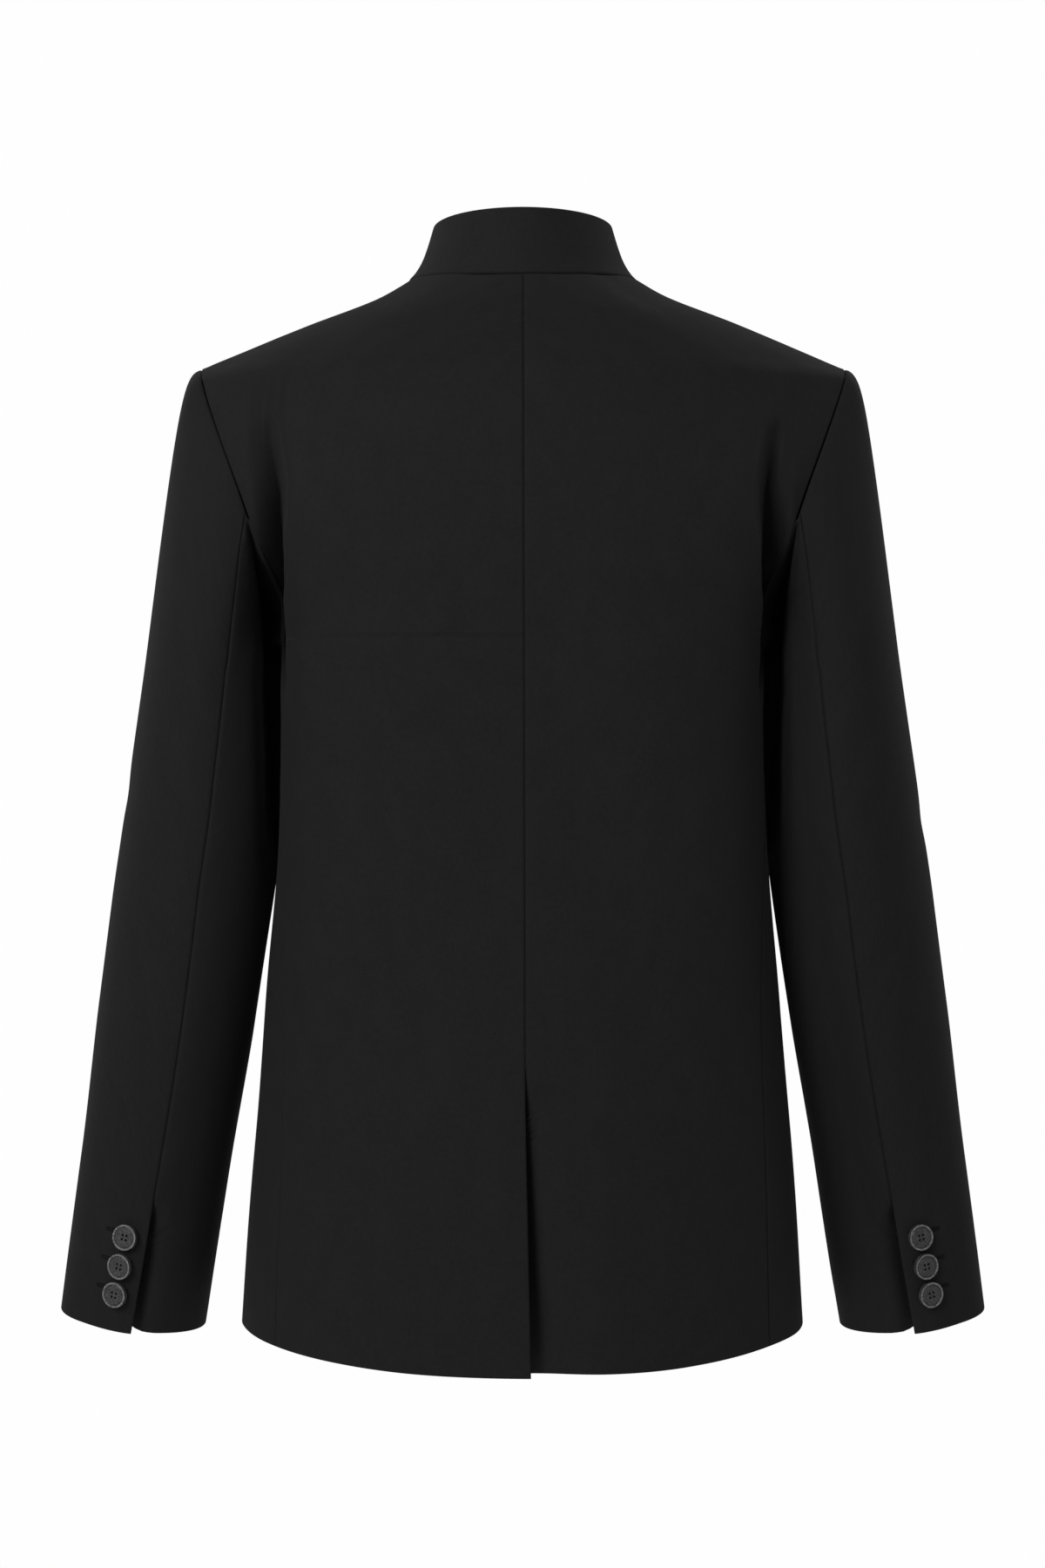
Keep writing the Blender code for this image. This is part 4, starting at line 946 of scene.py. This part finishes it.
def under_arm(points, arm_angle):
    """How the under sleeve is pushed away from the back beside the body, with a wall that leans out."""
    levels = points[..., 2]
    wall_x, ramp, depth = (read(UNDER_ARM, name, levels) for name in HollowStep._fields[1:])
    round_front = 1 - ease_over(arm_angle, *HOLLOW_ENDS)
    on_wall = 1 - ease_over(arm_angle, *HOLLOW_FLOOR)
    into = depth * np.clip((wall_x - points[..., 0]) / ramp + HOLLOW_START, 0, 1) ** HOLLOW_CURVE
    lean = HOLLOW_LEAN * ease_over(levels, *HOLLOW_LEAN_LEVELS)
    return np.stack([lean * into * on_wall, into * round_front, 0.0 * into], axis=-1)


def sleeve_normal(arm_angle, share):
    around = sleeve_point(arm_angle + ARM_TURN, share) - sleeve_point(arm_angle - ARM_TURN, share)
    down = sleeve_point(arm_angle, np.minimum(share + SLEEVE_STEP, 1))
    down = down - sleeve_point(arm_angle, np.maximum(share - SLEEVE_STEP, 0))
    return unit(np.cross(around, down))


def hindarm_angle(share):
    return read(HINDARM, "angle", share, "share")


def share_above_cuff(length):
    """Share of the sleeve at a length of the hindarm seam above the cuff."""
    shares = np.linspace(CAP_SHARE, 1.0, 400)
    points = sleeve_point(hindarm_angle(shares), shares)
    to_cuff = np.linalg.norm(np.diff(points, axis=0), axis=1)[::-1].cumsum()[::-1]
    return float(np.interp(-length, -to_cuff, shares[:-1]))


VENT_SHARE = share_above_cuff(CUFF_VENT)


def arm_degrees(length, share):
    """The turn round the arm behind it that covers a length of cloth."""
    turn = 1.0
    angle = hindarm_angle(share)
    ends = sleeve_point(angle + turn, share) - sleeve_point(angle - turn, share)
    return length * 2 * turn / np.linalg.norm(ends, axis=-1)


def cuff_flare(angle, share):
    """How far the top sleeve stands up beside the cuff vent."""
    aside = (hindarm_angle(share) - angle) / arm_degrees(1.0, 1.0)
    return CUFF_FLARE * ease(2 * (share - VENT_SHARE) / (1 - VENT_SHARE)) * (1 - ease(aside / CUFF_FLARE_RUN))


def cuff_point(angle, share):
    """A point of the top sleeve near the cuff."""
    lift = np.asarray(cuff_flare(angle, share))[..., None]
    return sleeve_point(angle, share) + sleeve_normal(angle, share) * lift


def cuff_normal(angle, share):
    around = cuff_point(angle + ARM_TURN, share) - cuff_point(angle - ARM_TURN, share)
    down = cuff_point(angle, share + SLEEVE_STEP) - cuff_point(angle, share - SLEEVE_STEP)
    return unit(np.cross(around, down))


def sleeve_piece(name, side, angles, shares, depth, seams, cloth):
    """One of a sleeve's two pieces, from a row of angles round the arm for each share of its length."""
    grid = np.repeat(shares[:, None], angles.shape[1], axis=1)
    points, normals = sleeve_point(angles, grid, cloth.seam_gap), sleeve_normal(angles, grid)
    height = sleeve_creases(side, angles, grid) * ease(grid / CREASE_FROM_ARMHOLE)
    height = height * ease((1 - grid) / CREASE_FROM_CUFF) - depth
    points = points + normals * height[..., None]
    return shell(name, mirrored(points, side), mirrored(normals, side), cloth.wall, seams, cloth)


def sleeve(side, cloth):
    """The top sleeve and the under sleeve, with the top one lapping over at the cuff vent."""
    word = side_word(side)
    shares = spaced(SLEEVE_LENGTH, cloth.grid)
    gap = arm_degrees(cloth.seam_gap / 2, shares)
    below = (shares - VENT_SHARE) * CUFF_VENT / (1 - VENT_SHARE)
    down = np.clip(below / CUFF_VENT, 0, 1)
    underlap = arm_degrees(CUFF_UNDERLAP, shares) * ease(below / CUFF_RAMP - 1)
    hindarm = hindarm_angle(shares)
    across = spaced(SLEEVE_SPAN, cloth.grid)
    first, last = FOREARM_ANGLE - 360.0 + gap, hindarm - gap
    top = first[:, None] + (last - first)[:, None] * across
    first, last = hindarm + gap - underlap, FOREARM_ANGLE - gap
    under = first[:, None] + (last - first)[:, None] * across
    near = 1 - ease((under - hindarm[:, None]) / arm_degrees(CUFF_UNDERLAP, 1.0))
    sunk = cloth.wall + LAP_GAP + CUFF_TUCK * down
    dive = 1 - ease((under - hindarm[:, None]) / arm_degrees(CUFF_DIVE_RUN, 1.0))
    sunk = sunk[:, None] * near + CUFF_DIVE * (down**CUFF_DIVE_GROWTH)[:, None] * dive
    tucked = sunk * ease(below / CUFF_RAMP)[:, None]
    flared = -cuff_flare(top, shares[:, None])
    sewn = 1 - ease(below / CUFF_RAMP)
    seams = (1.0, sewn, 1.0, 0.0), (sewn, 1.0, 1.0, 0.0)
    return (
        sleeve_piece(f"sleeve_top_{word}", side, top, shares, flared, seams[0], cloth),
        sleeve_piece(f"sleeve_under_{word}", side, under, shares, tucked, seams[1], cloth),
    )


def button_frame(side, index, tilt):
    """Place and axes of a cuff button on the top sleeve: across the vent, up the sleeve, and out."""
    share = share_above_cuff(BUTTON_FROM_CUFF + index * BUTTON_SPACING)
    angle = float(hindarm_angle(share) - arm_degrees(BUTTON_FROM_EDGE, share))
    point, normal = cuff_point(angle, share), cuff_normal(angle, share)
    down = cuff_point(angle, min(share + 0.01, 1.0)) - point
    point, normal, down = (mirrored(v, side) for v in (point, normal, down))
    up = unit(-down + normal * (down @ normal))
    normal = normal * math.cos(tilt) + side * np.cross(up, normal) * math.sin(tilt)
    axes = np.eye(4)
    axes[:3, 0], axes[:3, 1], axes[:3, 2], axes[:3, 3] = np.cross(up, normal), up, normal, point
    return axes


def deselected():
    if bpy.context.object and bpy.context.object.mode != "OBJECT":
        bpy.ops.object.mode_set(mode="OBJECT")
    bpy.ops.object.select_all(action="DESELECT")


def edit_selected(piece, kind, wanted):
    """Edit mode on a piece, with those faces ("FACE") or points ("VERT") selected that are wanted."""
    bpy.ops.object.mode_set(mode="OBJECT")
    mesh = piece.data
    for part in (mesh.vertices, mesh.edges, mesh.polygons):
        part.foreach_set("select", [False] * len(part))
    for item in mesh.polygons if kind == "FACE" else mesh.vertices:
        item.select = wanted(item)
    bpy.ops.object.mode_set(mode="EDIT")
    bpy.ops.mesh.select_mode(type=kind)


def joined(pieces, name):
    deselected()
    for piece in pieces:
        piece.select_set(True)
    bpy.context.view_layer.objects.active = pieces[0]
    bpy.ops.object.join()
    pieces[0].name = pieces[0].data.name = name
    return pieces[0]


def applied(piece, kind, **values):
    """Adds a modifier to a piece and applies it."""
    modifier = piece.modifiers.new(kind.lower(), kind)
    for name, value in values.items():
        setattr(modifier, name, value)
    bpy.context.view_layer.objects.active = piece
    bpy.ops.object.modifier_apply(modifier=modifier.name)


def bevelled(piece, width, segments, degrees):
    """Rounds a piece's edges that are sharper than an angle."""
    limit = math.radians(degrees)
    applied(piece, "BEVEL", width=width, segments=segments, limit_method="ANGLE", angle_limit=limit)


def hole_places(settings):
    """The middles of a button's four sewing holes."""
    ways = (-settings.hole_offset, settings.hole_offset)
    return [(across, along) for across in ways for along in ways]


def turned_button(settings):
    """A four-hole button on the XY plane: rim, groove and a slightly dished face. The top of the rim takes a
    second material, lighter as a painted highlight.
    """
    deselected()
    bpy.ops.mesh.primitive_cylinder_add(
        vertices=72, radius=settings.radius, depth=settings.height, location=(0, 0, settings.height / 2)
    )
    piece = bpy.context.object
    bpy.ops.object.transform_apply(location=True, rotation=True, scale=True)
    top, groove = settings.height * 0.9, settings.groove
    edit_selected(piece, "FACE", lambda face: face.normal.z > 0.9 and face.center.z > top)
    insets = {
        "rim": (settings.rim, 0.0),
        "groove's outer wall": (groove * 0.45, -groove),
        "groove's floor": (groove * 0.35, 0.0),
        "groove's inner wall": (groove * 0.6, groove * 0.62),
        "dished face": (settings.radius * 0.30, -groove * 0.12),
        "dished middle": (settings.radius * 0.18, -groove * 0.10),
    }
    for thickness, depth in insets.values():
        bpy.ops.mesh.inset(thickness=thickness, depth=depth)
    edit_selected(piece, "FACE", lambda face: face.normal.z < -0.9)
    bpy.ops.mesh.inset(thickness=settings.rim * 1.6, depth=0.0)
    bpy.ops.object.mode_set(mode="OBJECT")
    bevelled(piece, settings.rim * 0.42, 3, 28)
    for across, along in hole_places(settings):
        deselected()
        bpy.ops.mesh.primitive_cylinder_add(
            vertices=24, radius=settings.hole_radius, depth=4 * settings.height, location=(across, along, 0)
        )
        drill = bpy.context.object
        applied(piece, "BOOLEAN", operation="DIFFERENCE", object=drill)
        bpy.data.objects.remove(drill)
    bevelled(piece, settings.hole_radius * 0.16, 2, 60)
    deselected()
    piece.select_set(True)
    bpy.context.view_layer.objects.active = piece
    bpy.ops.object.shade_smooth_by_angle(angle=math.radians(32))
    applied(piece, "WEIGHTED_NORMAL", keep_sharp=True, weight=100)
    # The top of the rim takes material 1, whose lighter colour is a painted highlight.
    inner, low = settings.radius - 1.1 * settings.rim, top * 0.8
    for face in piece.data.polygons:
        x, y, z = face.center
        face.material_index = int(math.hypot(x, y) > inner and z > low)
    return piece


def thread_bundle(settings):
    """The sewing under a button: threads that fill the four holes."""
    made = []
    for across, along in hole_places(settings):
        deselected()
        bpy.ops.mesh.primitive_cylinder_add(
            vertices=10, radius=settings.hole_radius * 0.82, depth=settings.height * 0.40,
            location=(across, along, settings.height * 0.20),
        )
        made.append(bpy.context.object)
        edit_selected(made[-1], "FACE", lambda face: face.normal.z > 0.9 and face.center.z > 0)
        bpy.ops.mesh.inset(thickness=settings.hole_radius * 0.35, depth=settings.height * 0.05)
        bpy.ops.object.mode_set(mode="OBJECT")
    piece = joined(made, "button thread")
    bpy.ops.object.transform_apply(location=True, rotation=True, scale=True)
    bpy.ops.object.shade_smooth_by_angle(angle=math.radians(40))
    return piece


def placed(piece, name, axes, lift):
    """A copy of a piece with its own mesh, put in place there and then left at the origin."""
    data = piece.data.copy()
    place = Matrix(axes.tolist()) @ Matrix.Translation((0, 0, lift))
    data.transform(place)
    copy = bpy.data.objects.new(name, data)
    data.name = name
    bpy.context.scene.collection.objects.link(copy)
    return copy


def stitch(settings):
    """One stitch of a buttonhole along Z, rounded at its ends and bowed out along X."""
    deselected()
    bpy.ops.mesh.primitive_uv_sphere_add(segments=6, ring_count=6, radius=settings.thread_radius)
    piece = bpy.context.object
    bpy.ops.object.mode_set(mode="EDIT")
    bpy.ops.mesh.select_all(action="SELECT")
    bpy.ops.transform.resize(value=(1.0, 1.0, settings.lip / (2 * settings.thread_radius)))
    edit_selected(piece, "VERT", lambda point: abs(point.co.z) < settings.lip * 0.3)
    bpy.ops.transform.translate(value=(settings.thread_radius * 0.8, 0.0, 0.0))
    bpy.ops.object.mode_set(mode="OBJECT")
    deselected()
    piece.select_set(True)
    bpy.ops.object.shade_smooth()
    return piece


def stitch_places(side, index, settings):
    """Axes of the stitches of a buttonhole: close ones along both lips and a bar across its end."""
    share = share_above_cuff(BUTTON_FROM_CUFF + index * BUTTON_SPACING + settings.hole_rise)
    count = round(settings.hole_length / settings.pitch)
    run = np.arange(count) * settings.pitch
    wander = 0.1 * settings.lip * np.sin(2.3 * np.arange(count) + index)
    upper, lower = settings.lip * 0.6 + wander, -settings.lip * 0.6 - wander[::-1]
    bar = settings.hole_length + settings.pitch * np.arange(3)
    across = np.concatenate([run, run + settings.pitch / 2, bar, bar])
    up = np.concatenate([upper, lower, np.full(3, 0.5 * settings.lip), np.full(3, -0.5 * settings.lip)])
    start = hindarm_angle(share) - arm_degrees(BUTTON_FROM_EDGE - settings.hole_start, share)
    angles = start - across * arm_degrees(1.0, share)
    step = 0.001
    run_down = np.linalg.norm(sleeve_point(start, share + step) - sleeve_point(start, share))
    shares = share - up * step / run_down
    points, normals = cuff_point(angles, shares), cuff_normal(angles, shares)
    downs = unit(cuff_point(angles, shares + step) - points)
    axes = np.zeros((len(angles), 4, 4))
    axes[:, :3, 0], axes[:, :3, 2] = mirrored(normals, side), mirrored(downs, side)
    axes[:, :3, 1] = np.cross(axes[:, :3, 2], axes[:, :3, 0])
    axes[:, :3, 3] = mirrored(points + normals * settings.thread_radius * 0.3, side)
    axes[:, 3, 3] = 1.0
    return axes


def group_socket(group, name, way, kind, default=None):
    socket = group.interface.new_socket(name=name, in_out=way, socket_type=kind)
    if default is not None:
        socket.default_value = default
    return socket


def math_node(nodes, links, kind, first, second):
    node = nodes.new("ShaderNodeMath")
    node.operation = kind
    for socket, value in zip(node.inputs, (first, second)):
        if hasattr(value, "links"):
            links.new(value, socket)
        else:
            socket.default_value = value
    return node.outputs[0]


def noise_node(nodes, links, place, scale, detail=2.0):
    noise = nodes.new("ShaderNodeTexNoise")
    noise.inputs["Scale"].default_value = scale
    noise.inputs["Detail"].default_value = detail
    links.new(place, noise.inputs["Vector"])
    return noise.outputs["Fac"]


def twill_group():
    """Fine twill: slanting ridges, yarns of uneven lightness and slow mottling, from a chart in metres."""
    group = bpy.data.node_groups.new("fine twill", "ShaderNodeTree")
    group_socket(group, "Chart", "INPUT", "NodeSocketVector")
    group_socket(group, "Pitch", "INPUT", "NodeSocketFloat", 0.00055)
    group_socket(group, "Mottle", "INPUT", "NodeSocketFloat", 0.5)
    group_socket(group, "Lightness", "OUTPUT", "NodeSocketFloat")
    group_socket(group, "Height", "OUTPUT", "NodeSocketFloat")
    nodes, links = group.nodes, group.links
    start, end = nodes.new("NodeGroupInput"), nodes.new("NodeGroupOutput")

    def made(kind, first, second):
        return math_node(nodes, links, kind, first, second)

    def mixed(first, first_share, second, second_share):
        return made("ADD", made("MULTIPLY", first, first_share), made("MULTIPLY", second, second_share))

    def streaks(stretch_across, stretch_along, scale, detail):
        mapping = nodes.new("ShaderNodeMapping")
        mapping.inputs["Scale"].default_value = (stretch_across, stretch_along, 1.0)
        links.new(start.outputs["Chart"], mapping.inputs["Vector"])
        return noise_node(nodes, links, mapping.outputs[0], scale, detail)

    apart = nodes.new("ShaderNodeSeparateXYZ")
    links.new(start.outputs["Chart"], apart.inputs[0])
    slant = made("MULTIPLY_ADD", apart.outputs[1], 0.62)
    links.new(apart.outputs[0], slant.node.inputs[2])
    turns = made("DIVIDE", slant, start.outputs["Pitch"])
    wave = made("SINE", made("MULTIPLY", turns, 2 * math.pi), 0.0)
    warp = streaks(1.0, 0.12, 1300.0, 2.0)
    weft = streaks(0.12, 1.0, 1300.0, 2.0)
    nap = streaks(1.0, 0.7, 420.0, 3.0)
    cloud = streaks(1.0, 0.6, 64.0, 4.0)
    yarns = mixed(mixed(warp, 0.5, weft, 0.5), 0.55, nap, 0.45)
    mottled = made("MULTIPLY", made("SUBTRACT", cloud, 0.5), start.outputs["Mottle"])
    light = made("ADD", made("ADD", yarns, mottled), made("MULTIPLY", wave, 0.05))
    links.new(light, end.inputs["Lightness"])
    links.new(mixed(wave, 0.5, yarns, 1.6), end.inputs["Height"])
    return group


def plain_material(name, roughness, specular):
    material = bpy.data.materials.new(name)
    material.use_nodes = True
    shader = material.node_tree.nodes["Principled BSDF"]
    shader.inputs["Roughness"].default_value = roughness
    shader.inputs["Specular IOR Level"].default_value = specular
    return material, material.node_tree.nodes, material.node_tree.links, shader


def ramp_between(nodes, links, value, low, high, dark, light):
    """Colours between two values: dark at the low one, light at the high one."""
    ramp = nodes.new("ShaderNodeValToRGB")
    ramp.color_ramp.elements[0].position, ramp.color_ramp.elements[1].position = low, high
    ramp.color_ramp.elements[0].color, ramp.color_ramp.elements[1].color = dark, light
    links.new(value, ramp.inputs["Fac"])
    return ramp.outputs["Color"]


def suiting(cloth, finish):
    """Matte black suiting with a fine twill and a soft sheen."""
    known = bpy.data.materials.get(finish.name)
    if known:
        return known
    material, nodes, links, shader = plain_material(finish.name, 0.78, 0.16)
    shader.inputs["Sheen Weight"].default_value = 0.035
    shader.inputs["Sheen Roughness"].default_value = 0.45
    chart = nodes.new("ShaderNodeUVMap")
    chart.uv_map = "cloth"
    twill = nodes.new("ShaderNodeGroup")
    twill.node_tree = bpy.data.node_groups.get("fine twill") or twill_group()
    twill.inputs["Pitch"].default_value = cloth.yarn
    twill.inputs["Mottle"].default_value = finish.mottle
    links.new(chart.outputs["UV"], twill.inputs["Chart"])
    dark, light = tuple(cloth.colour), tuple(cloth.fleck)
    colour = ramp_between(nodes, links, twill.outputs["Lightness"], 0.30, 0.72, dark, light)
    links.new(colour, shader.inputs["Base Color"])
    relief = nodes.new("ShaderNodeBump")
    relief.inputs["Strength"].default_value = finish.bump
    relief.inputs["Distance"].default_value = 0.00012
    links.new(twill.outputs["Height"], relief.inputs["Height"])
    links.new(relief.outputs["Normal"], shader.inputs["Normal"])
    return material


def horn(name, dark, light):
    """Satin button stock with soft flecks between two colours. With the rim's lighter colours it is a painted
    highlight.
    """
    material, nodes, links, shader = plain_material(name, 0.34, 0.5)
    place = nodes.new("ShaderNodeTexCoord").outputs["Object"]
    flecks = noise_node(nodes, links, place, 900.0, 4.0)
    colour = ramp_between(nodes, links, flecks, 0.35, 0.70, tuple(dark), tuple(light))
    links.new(colour, shader.inputs["Base Color"])
    scuff = nodes.new("ShaderNodeMapRange")
    for name, value in {"From Min": 0.3, "From Max": 0.7, "To Min": 0.26, "To Max": 0.44}.items():
        scuff.inputs[name].default_value = value
    links.new(flecks, scuff.inputs["Value"])
    links.new(scuff.outputs["Result"], shader.inputs["Roughness"])
    return material


def thread(cloth):
    """Black twisted sewing thread."""
    known = bpy.data.materials.get("black thread")
    if known:
        return known
    material, nodes, links, shader = plain_material("black thread", 0.62, 0.22)
    place = nodes.new("ShaderNodeTexCoord").outputs["Object"]
    twist = noise_node(nodes, links, place, 5200.0)
    dark = tuple(cloth.thread)
    light = tuple(min(1.0, 2.2 * value) for value in dark[:3]) + (1.0,)
    colour = ramp_between(nodes, links, twist, 0.35, 0.7, dark, light)
    links.new(colour, shader.inputs["Base Color"])
    return material


class JACKET_OT_backs(bpy.types.Operator):
    """Cut and hang the two backs, with the drape folds and the centre vent"""

    bl_idname = "jacket.backs"
    bl_label = "Backs"

    def execute(self, context):
        cloth = context.scene.jacket_cloth
        for side in (-1, 1):
            dressed(back_panel(side, cloth), cloth)
        return {"FINISHED"}


class JACKET_OT_sides(bpy.types.Operator):
    """Cut and hang the panels under the arms"""

    bl_idname = "jacket.sides"
    bl_label = "Side panels"

    def execute(self, context):
        cloth = context.scene.jacket_cloth
        for side in (-1, 1):
            dressed(side_panel(side, cloth), cloth)
        return {"FINISHED"}


class JACKET_OT_fronts(bpy.types.Operator):
    """Cut and hang the two fronts, the right one lapping over"""

    bl_idname = "jacket.fronts"
    bl_label = "Fronts"

    def execute(self, context):
        cloth = context.scene.jacket_cloth
        for side in (-1, 1):
            dressed(front_panel(side, cloth), cloth)
        return {"FINISHED"}


class JACKET_OT_collar(bpy.types.Operator):
    """Cut the stand collar"""

    bl_idname = "jacket.collar"
    bl_label = "Collar"

    def execute(self, context):
        cloth = context.scene.jacket_cloth
        dressed(collar_strip(cloth), cloth, COLLAR_FINISH)
        return {"FINISHED"}


class JACKET_OT_sleeves(bpy.types.Operator):
    """Cut the top and under sleeves with their cuff vents"""

    bl_idname = "jacket.sleeves"
    bl_label = "Sleeves"

    def execute(self, context):
        cloth = context.scene.jacket_cloth
        for side in (-1, 1):
            for piece in sleeve(side, cloth):
                dressed(piece, cloth)
        return {"FINISHED"}


class JACKET_OT_buttons(bpy.types.Operator):
    """Turn, drill and sew on the cuff buttons"""

    bl_idname = "jacket.buttons"
    bl_label = "Cuff buttons"

    def execute(self, context):
        settings, cloth = context.scene.jacket_buttons, context.scene.jacket_cloth
        stock, sewing = turned_button(settings), thread_bundle(settings)
        face = horn("dark horn", settings.face, settings.fleck_and_rim_highlight)
        # The rim's horn is much lighter than the face: a painted highlight.
        rim = horn("polished horn", settings.fleck_and_rim_highlight, settings.painted_rim_highlight)
        black = thread(cloth)
        for side in (-1, 1):
            for index in range(BUTTON_COUNT):
                name = f"cuff_button_{side_word(side)}_{index + 1}"
                axes = button_frame(side, index, settings.tilt)
                piece = placed(stock, f"{name}_turned", axes, BUTTON_LIFT)
                for finish in (face, rim):
                    piece.data.materials.append(finish)
                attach(piece, "root")
                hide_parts(name)
                sewn = placed(sewing, f"{name}_thread", axes, BUTTON_LIFT * 0.2)
                sewn.data.materials.append(black)
                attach(sewn, "root")
        for spare in (stock, sewing):
            bpy.data.objects.remove(spare)
        return {"FINISHED"}


class JACKET_OT_buttonholes(bpy.types.Operator):
    """Stitch the buttonholes on the cuffs"""

    bl_idname = "jacket.buttonholes"
    bl_label = "Buttonholes"

    def execute(self, context):
        settings, cloth = context.scene.jacket_buttons, context.scene.jacket_cloth
        one, black = stitch(settings), thread(cloth)
        one.data.materials.append(black)
        for side in (-1, 1):
            for index in range(BUTTON_COUNT):
                places = stitch_places(side, index, settings)
                row = [placed(one, "stitch", axes, 0.0) for axes in places]
                piece = joined(row, f"buttonhole_{side_word(side)}_{index + 1}")
                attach(piece, "root")
        bpy.data.objects.remove(one)
        return {"FINISHED"}


class JACKET_OT_studio(bpy.types.Operator):
    """Set up the pale floor, the white surround, soft lights and the camera"""

    bl_idname = "jacket.studio"
    bl_label = "Studio"

    def execute(self, context):
        settings = context.scene.jacket_studio
        self.floor(settings)
        self.surround(context, settings)
        middle = Vector((0.0, 0.0, settings.height))
        for side, share in RIM_SHARES:
            place = (side * RIM_PLACE[0], *RIM_PLACE[1:])
            self.light("rim light", place, middle, share * settings.rim_light, RIM_SIZE)
        self.light("main light", MAIN_PLACE, middle, settings.main_light, MAIN_SIZE)
        camera = bpy.data.objects.new("camera", bpy.data.cameras.new("camera"))
        camera.location = (CAMERA_X, -settings.distance, settings.height)
        camera.rotation_euler = (math.pi / 2, 0.0, 0.0)
        camera.data.lens = camera.data.sensor_width * settings.distance / settings.frame_height
        context.scene.collection.objects.link(camera)
        context.scene.camera = camera
        context.scene.view_settings.view_transform = "Standard"
        return {"FINISHED"}

    def floor(self, settings):
        deselected()
        bpy.ops.mesh.primitive_plane_add(size=FLOOR_SIZE, location=(0.0, 0.0, settings.floor))
        floor = bpy.context.object
        floor.name = "floor"
        material, nodes, links, shader = plain_material("pale floor", 0.6, 0.3)
        place = nodes.new("ShaderNodeTexCoord").outputs["Object"]
        grain = noise_node(nodes, links, place, 6.0)
        colour = ramp_between(nodes, links, grain, 0.3, 0.7, *FLOOR_COLOURS)
        links.new(colour, shader.inputs["Base Color"])
        floor.data.materials.append(material)

    def surround(self, context, settings):
        """White walls all round: full white to the camera, softer as a light."""
        world = bpy.data.worlds.new("white studio")
        context.scene.world = world
        world.use_nodes = True
        nodes, links = world.node_tree.nodes, world.node_tree.links
        seen = nodes["Background"]
        seen.inputs["Color"].default_value = (0.99, 0.99, 0.99, 1.0)
        lit = nodes.new("ShaderNodeBackground")
        lit.inputs["Color"].default_value = (1.0, 1.0, 1.0, 1.0)
        lit.inputs["Strength"].default_value = settings.surround
        path, mix = nodes.new("ShaderNodeLightPath"), nodes.new("ShaderNodeMixShader")
        links.new(path.outputs["Is Camera Ray"], mix.inputs["Fac"])
        links.new(lit.outputs[0], mix.inputs[1])
        links.new(seen.outputs[0], mix.inputs[2])
        links.new(mix.outputs[0], nodes["World Output"].inputs["Surface"])

    def light(self, name, place, target, power, size):
        data = bpy.data.lights.new(name, "AREA")
        data.shape = "RECTANGLE"
        data.size, data.size_y = size
        data.energy = power
        light = bpy.data.objects.new(name, data)
        light.location = place
        light.rotation_euler = (target - Vector(place)).to_track_quat("-Z", "Y").to_euler()
        bpy.context.scene.collection.objects.link(light)


class JACKET_PT_panel(bpy.types.Panel):
    """The jacket's pieces, sizes and colours"""

    bl_idname = "JACKET_PT_panel"
    bl_label = "Jacket"
    bl_space_type = "VIEW_3D"
    bl_region_type = "UI"
    bl_category = "Jacket"

    def draw(self, context):
        for operator in OPERATORS:
            self.layout.operator(operator.bl_idname)
        for name in SETTINGS:
            group = getattr(context.scene, name)
            box = self.layout.box()
            for value in group.bl_rna.properties:
                if value.identifier not in ("rna_type", "name"):
                    box.prop(group, value.identifier)


SETTINGS = {"jacket_cloth": JacketCloth, "jacket_buttons": JacketButtons, "jacket_studio": JacketStudio}
OPERATORS = (
    JACKET_OT_backs, JACKET_OT_sides, JACKET_OT_fronts, JACKET_OT_collar, JACKET_OT_sleeves,
    JACKET_OT_buttons, JACKET_OT_buttonholes, JACKET_OT_studio,
)


def register():
    for item in (*SETTINGS.values(), *OPERATORS, JACKET_PT_panel):
        bpy.utils.register_class(item)
    for name, group in SETTINGS.items():
        setattr(bpy.types.Scene, name, bpy.props.PointerProperty(type=group))


def unregister():
    for name in SETTINGS:
        delattr(bpy.types.Scene, name)
    for item in (JACKET_PT_panel, *OPERATORS[::-1], *SETTINGS.values()):
        bpy.utils.unregister_class(item)


def main():
    register()
    jacket = bpy.ops.jacket
    for step in (
        jacket.backs, jacket.sides, jacket.fronts, jacket.collar, jacket.sleeves, jacket.buttons,
        jacket.buttonholes, jacket.studio,
    ):
        step()


if __name__ == "__main__":
    main()
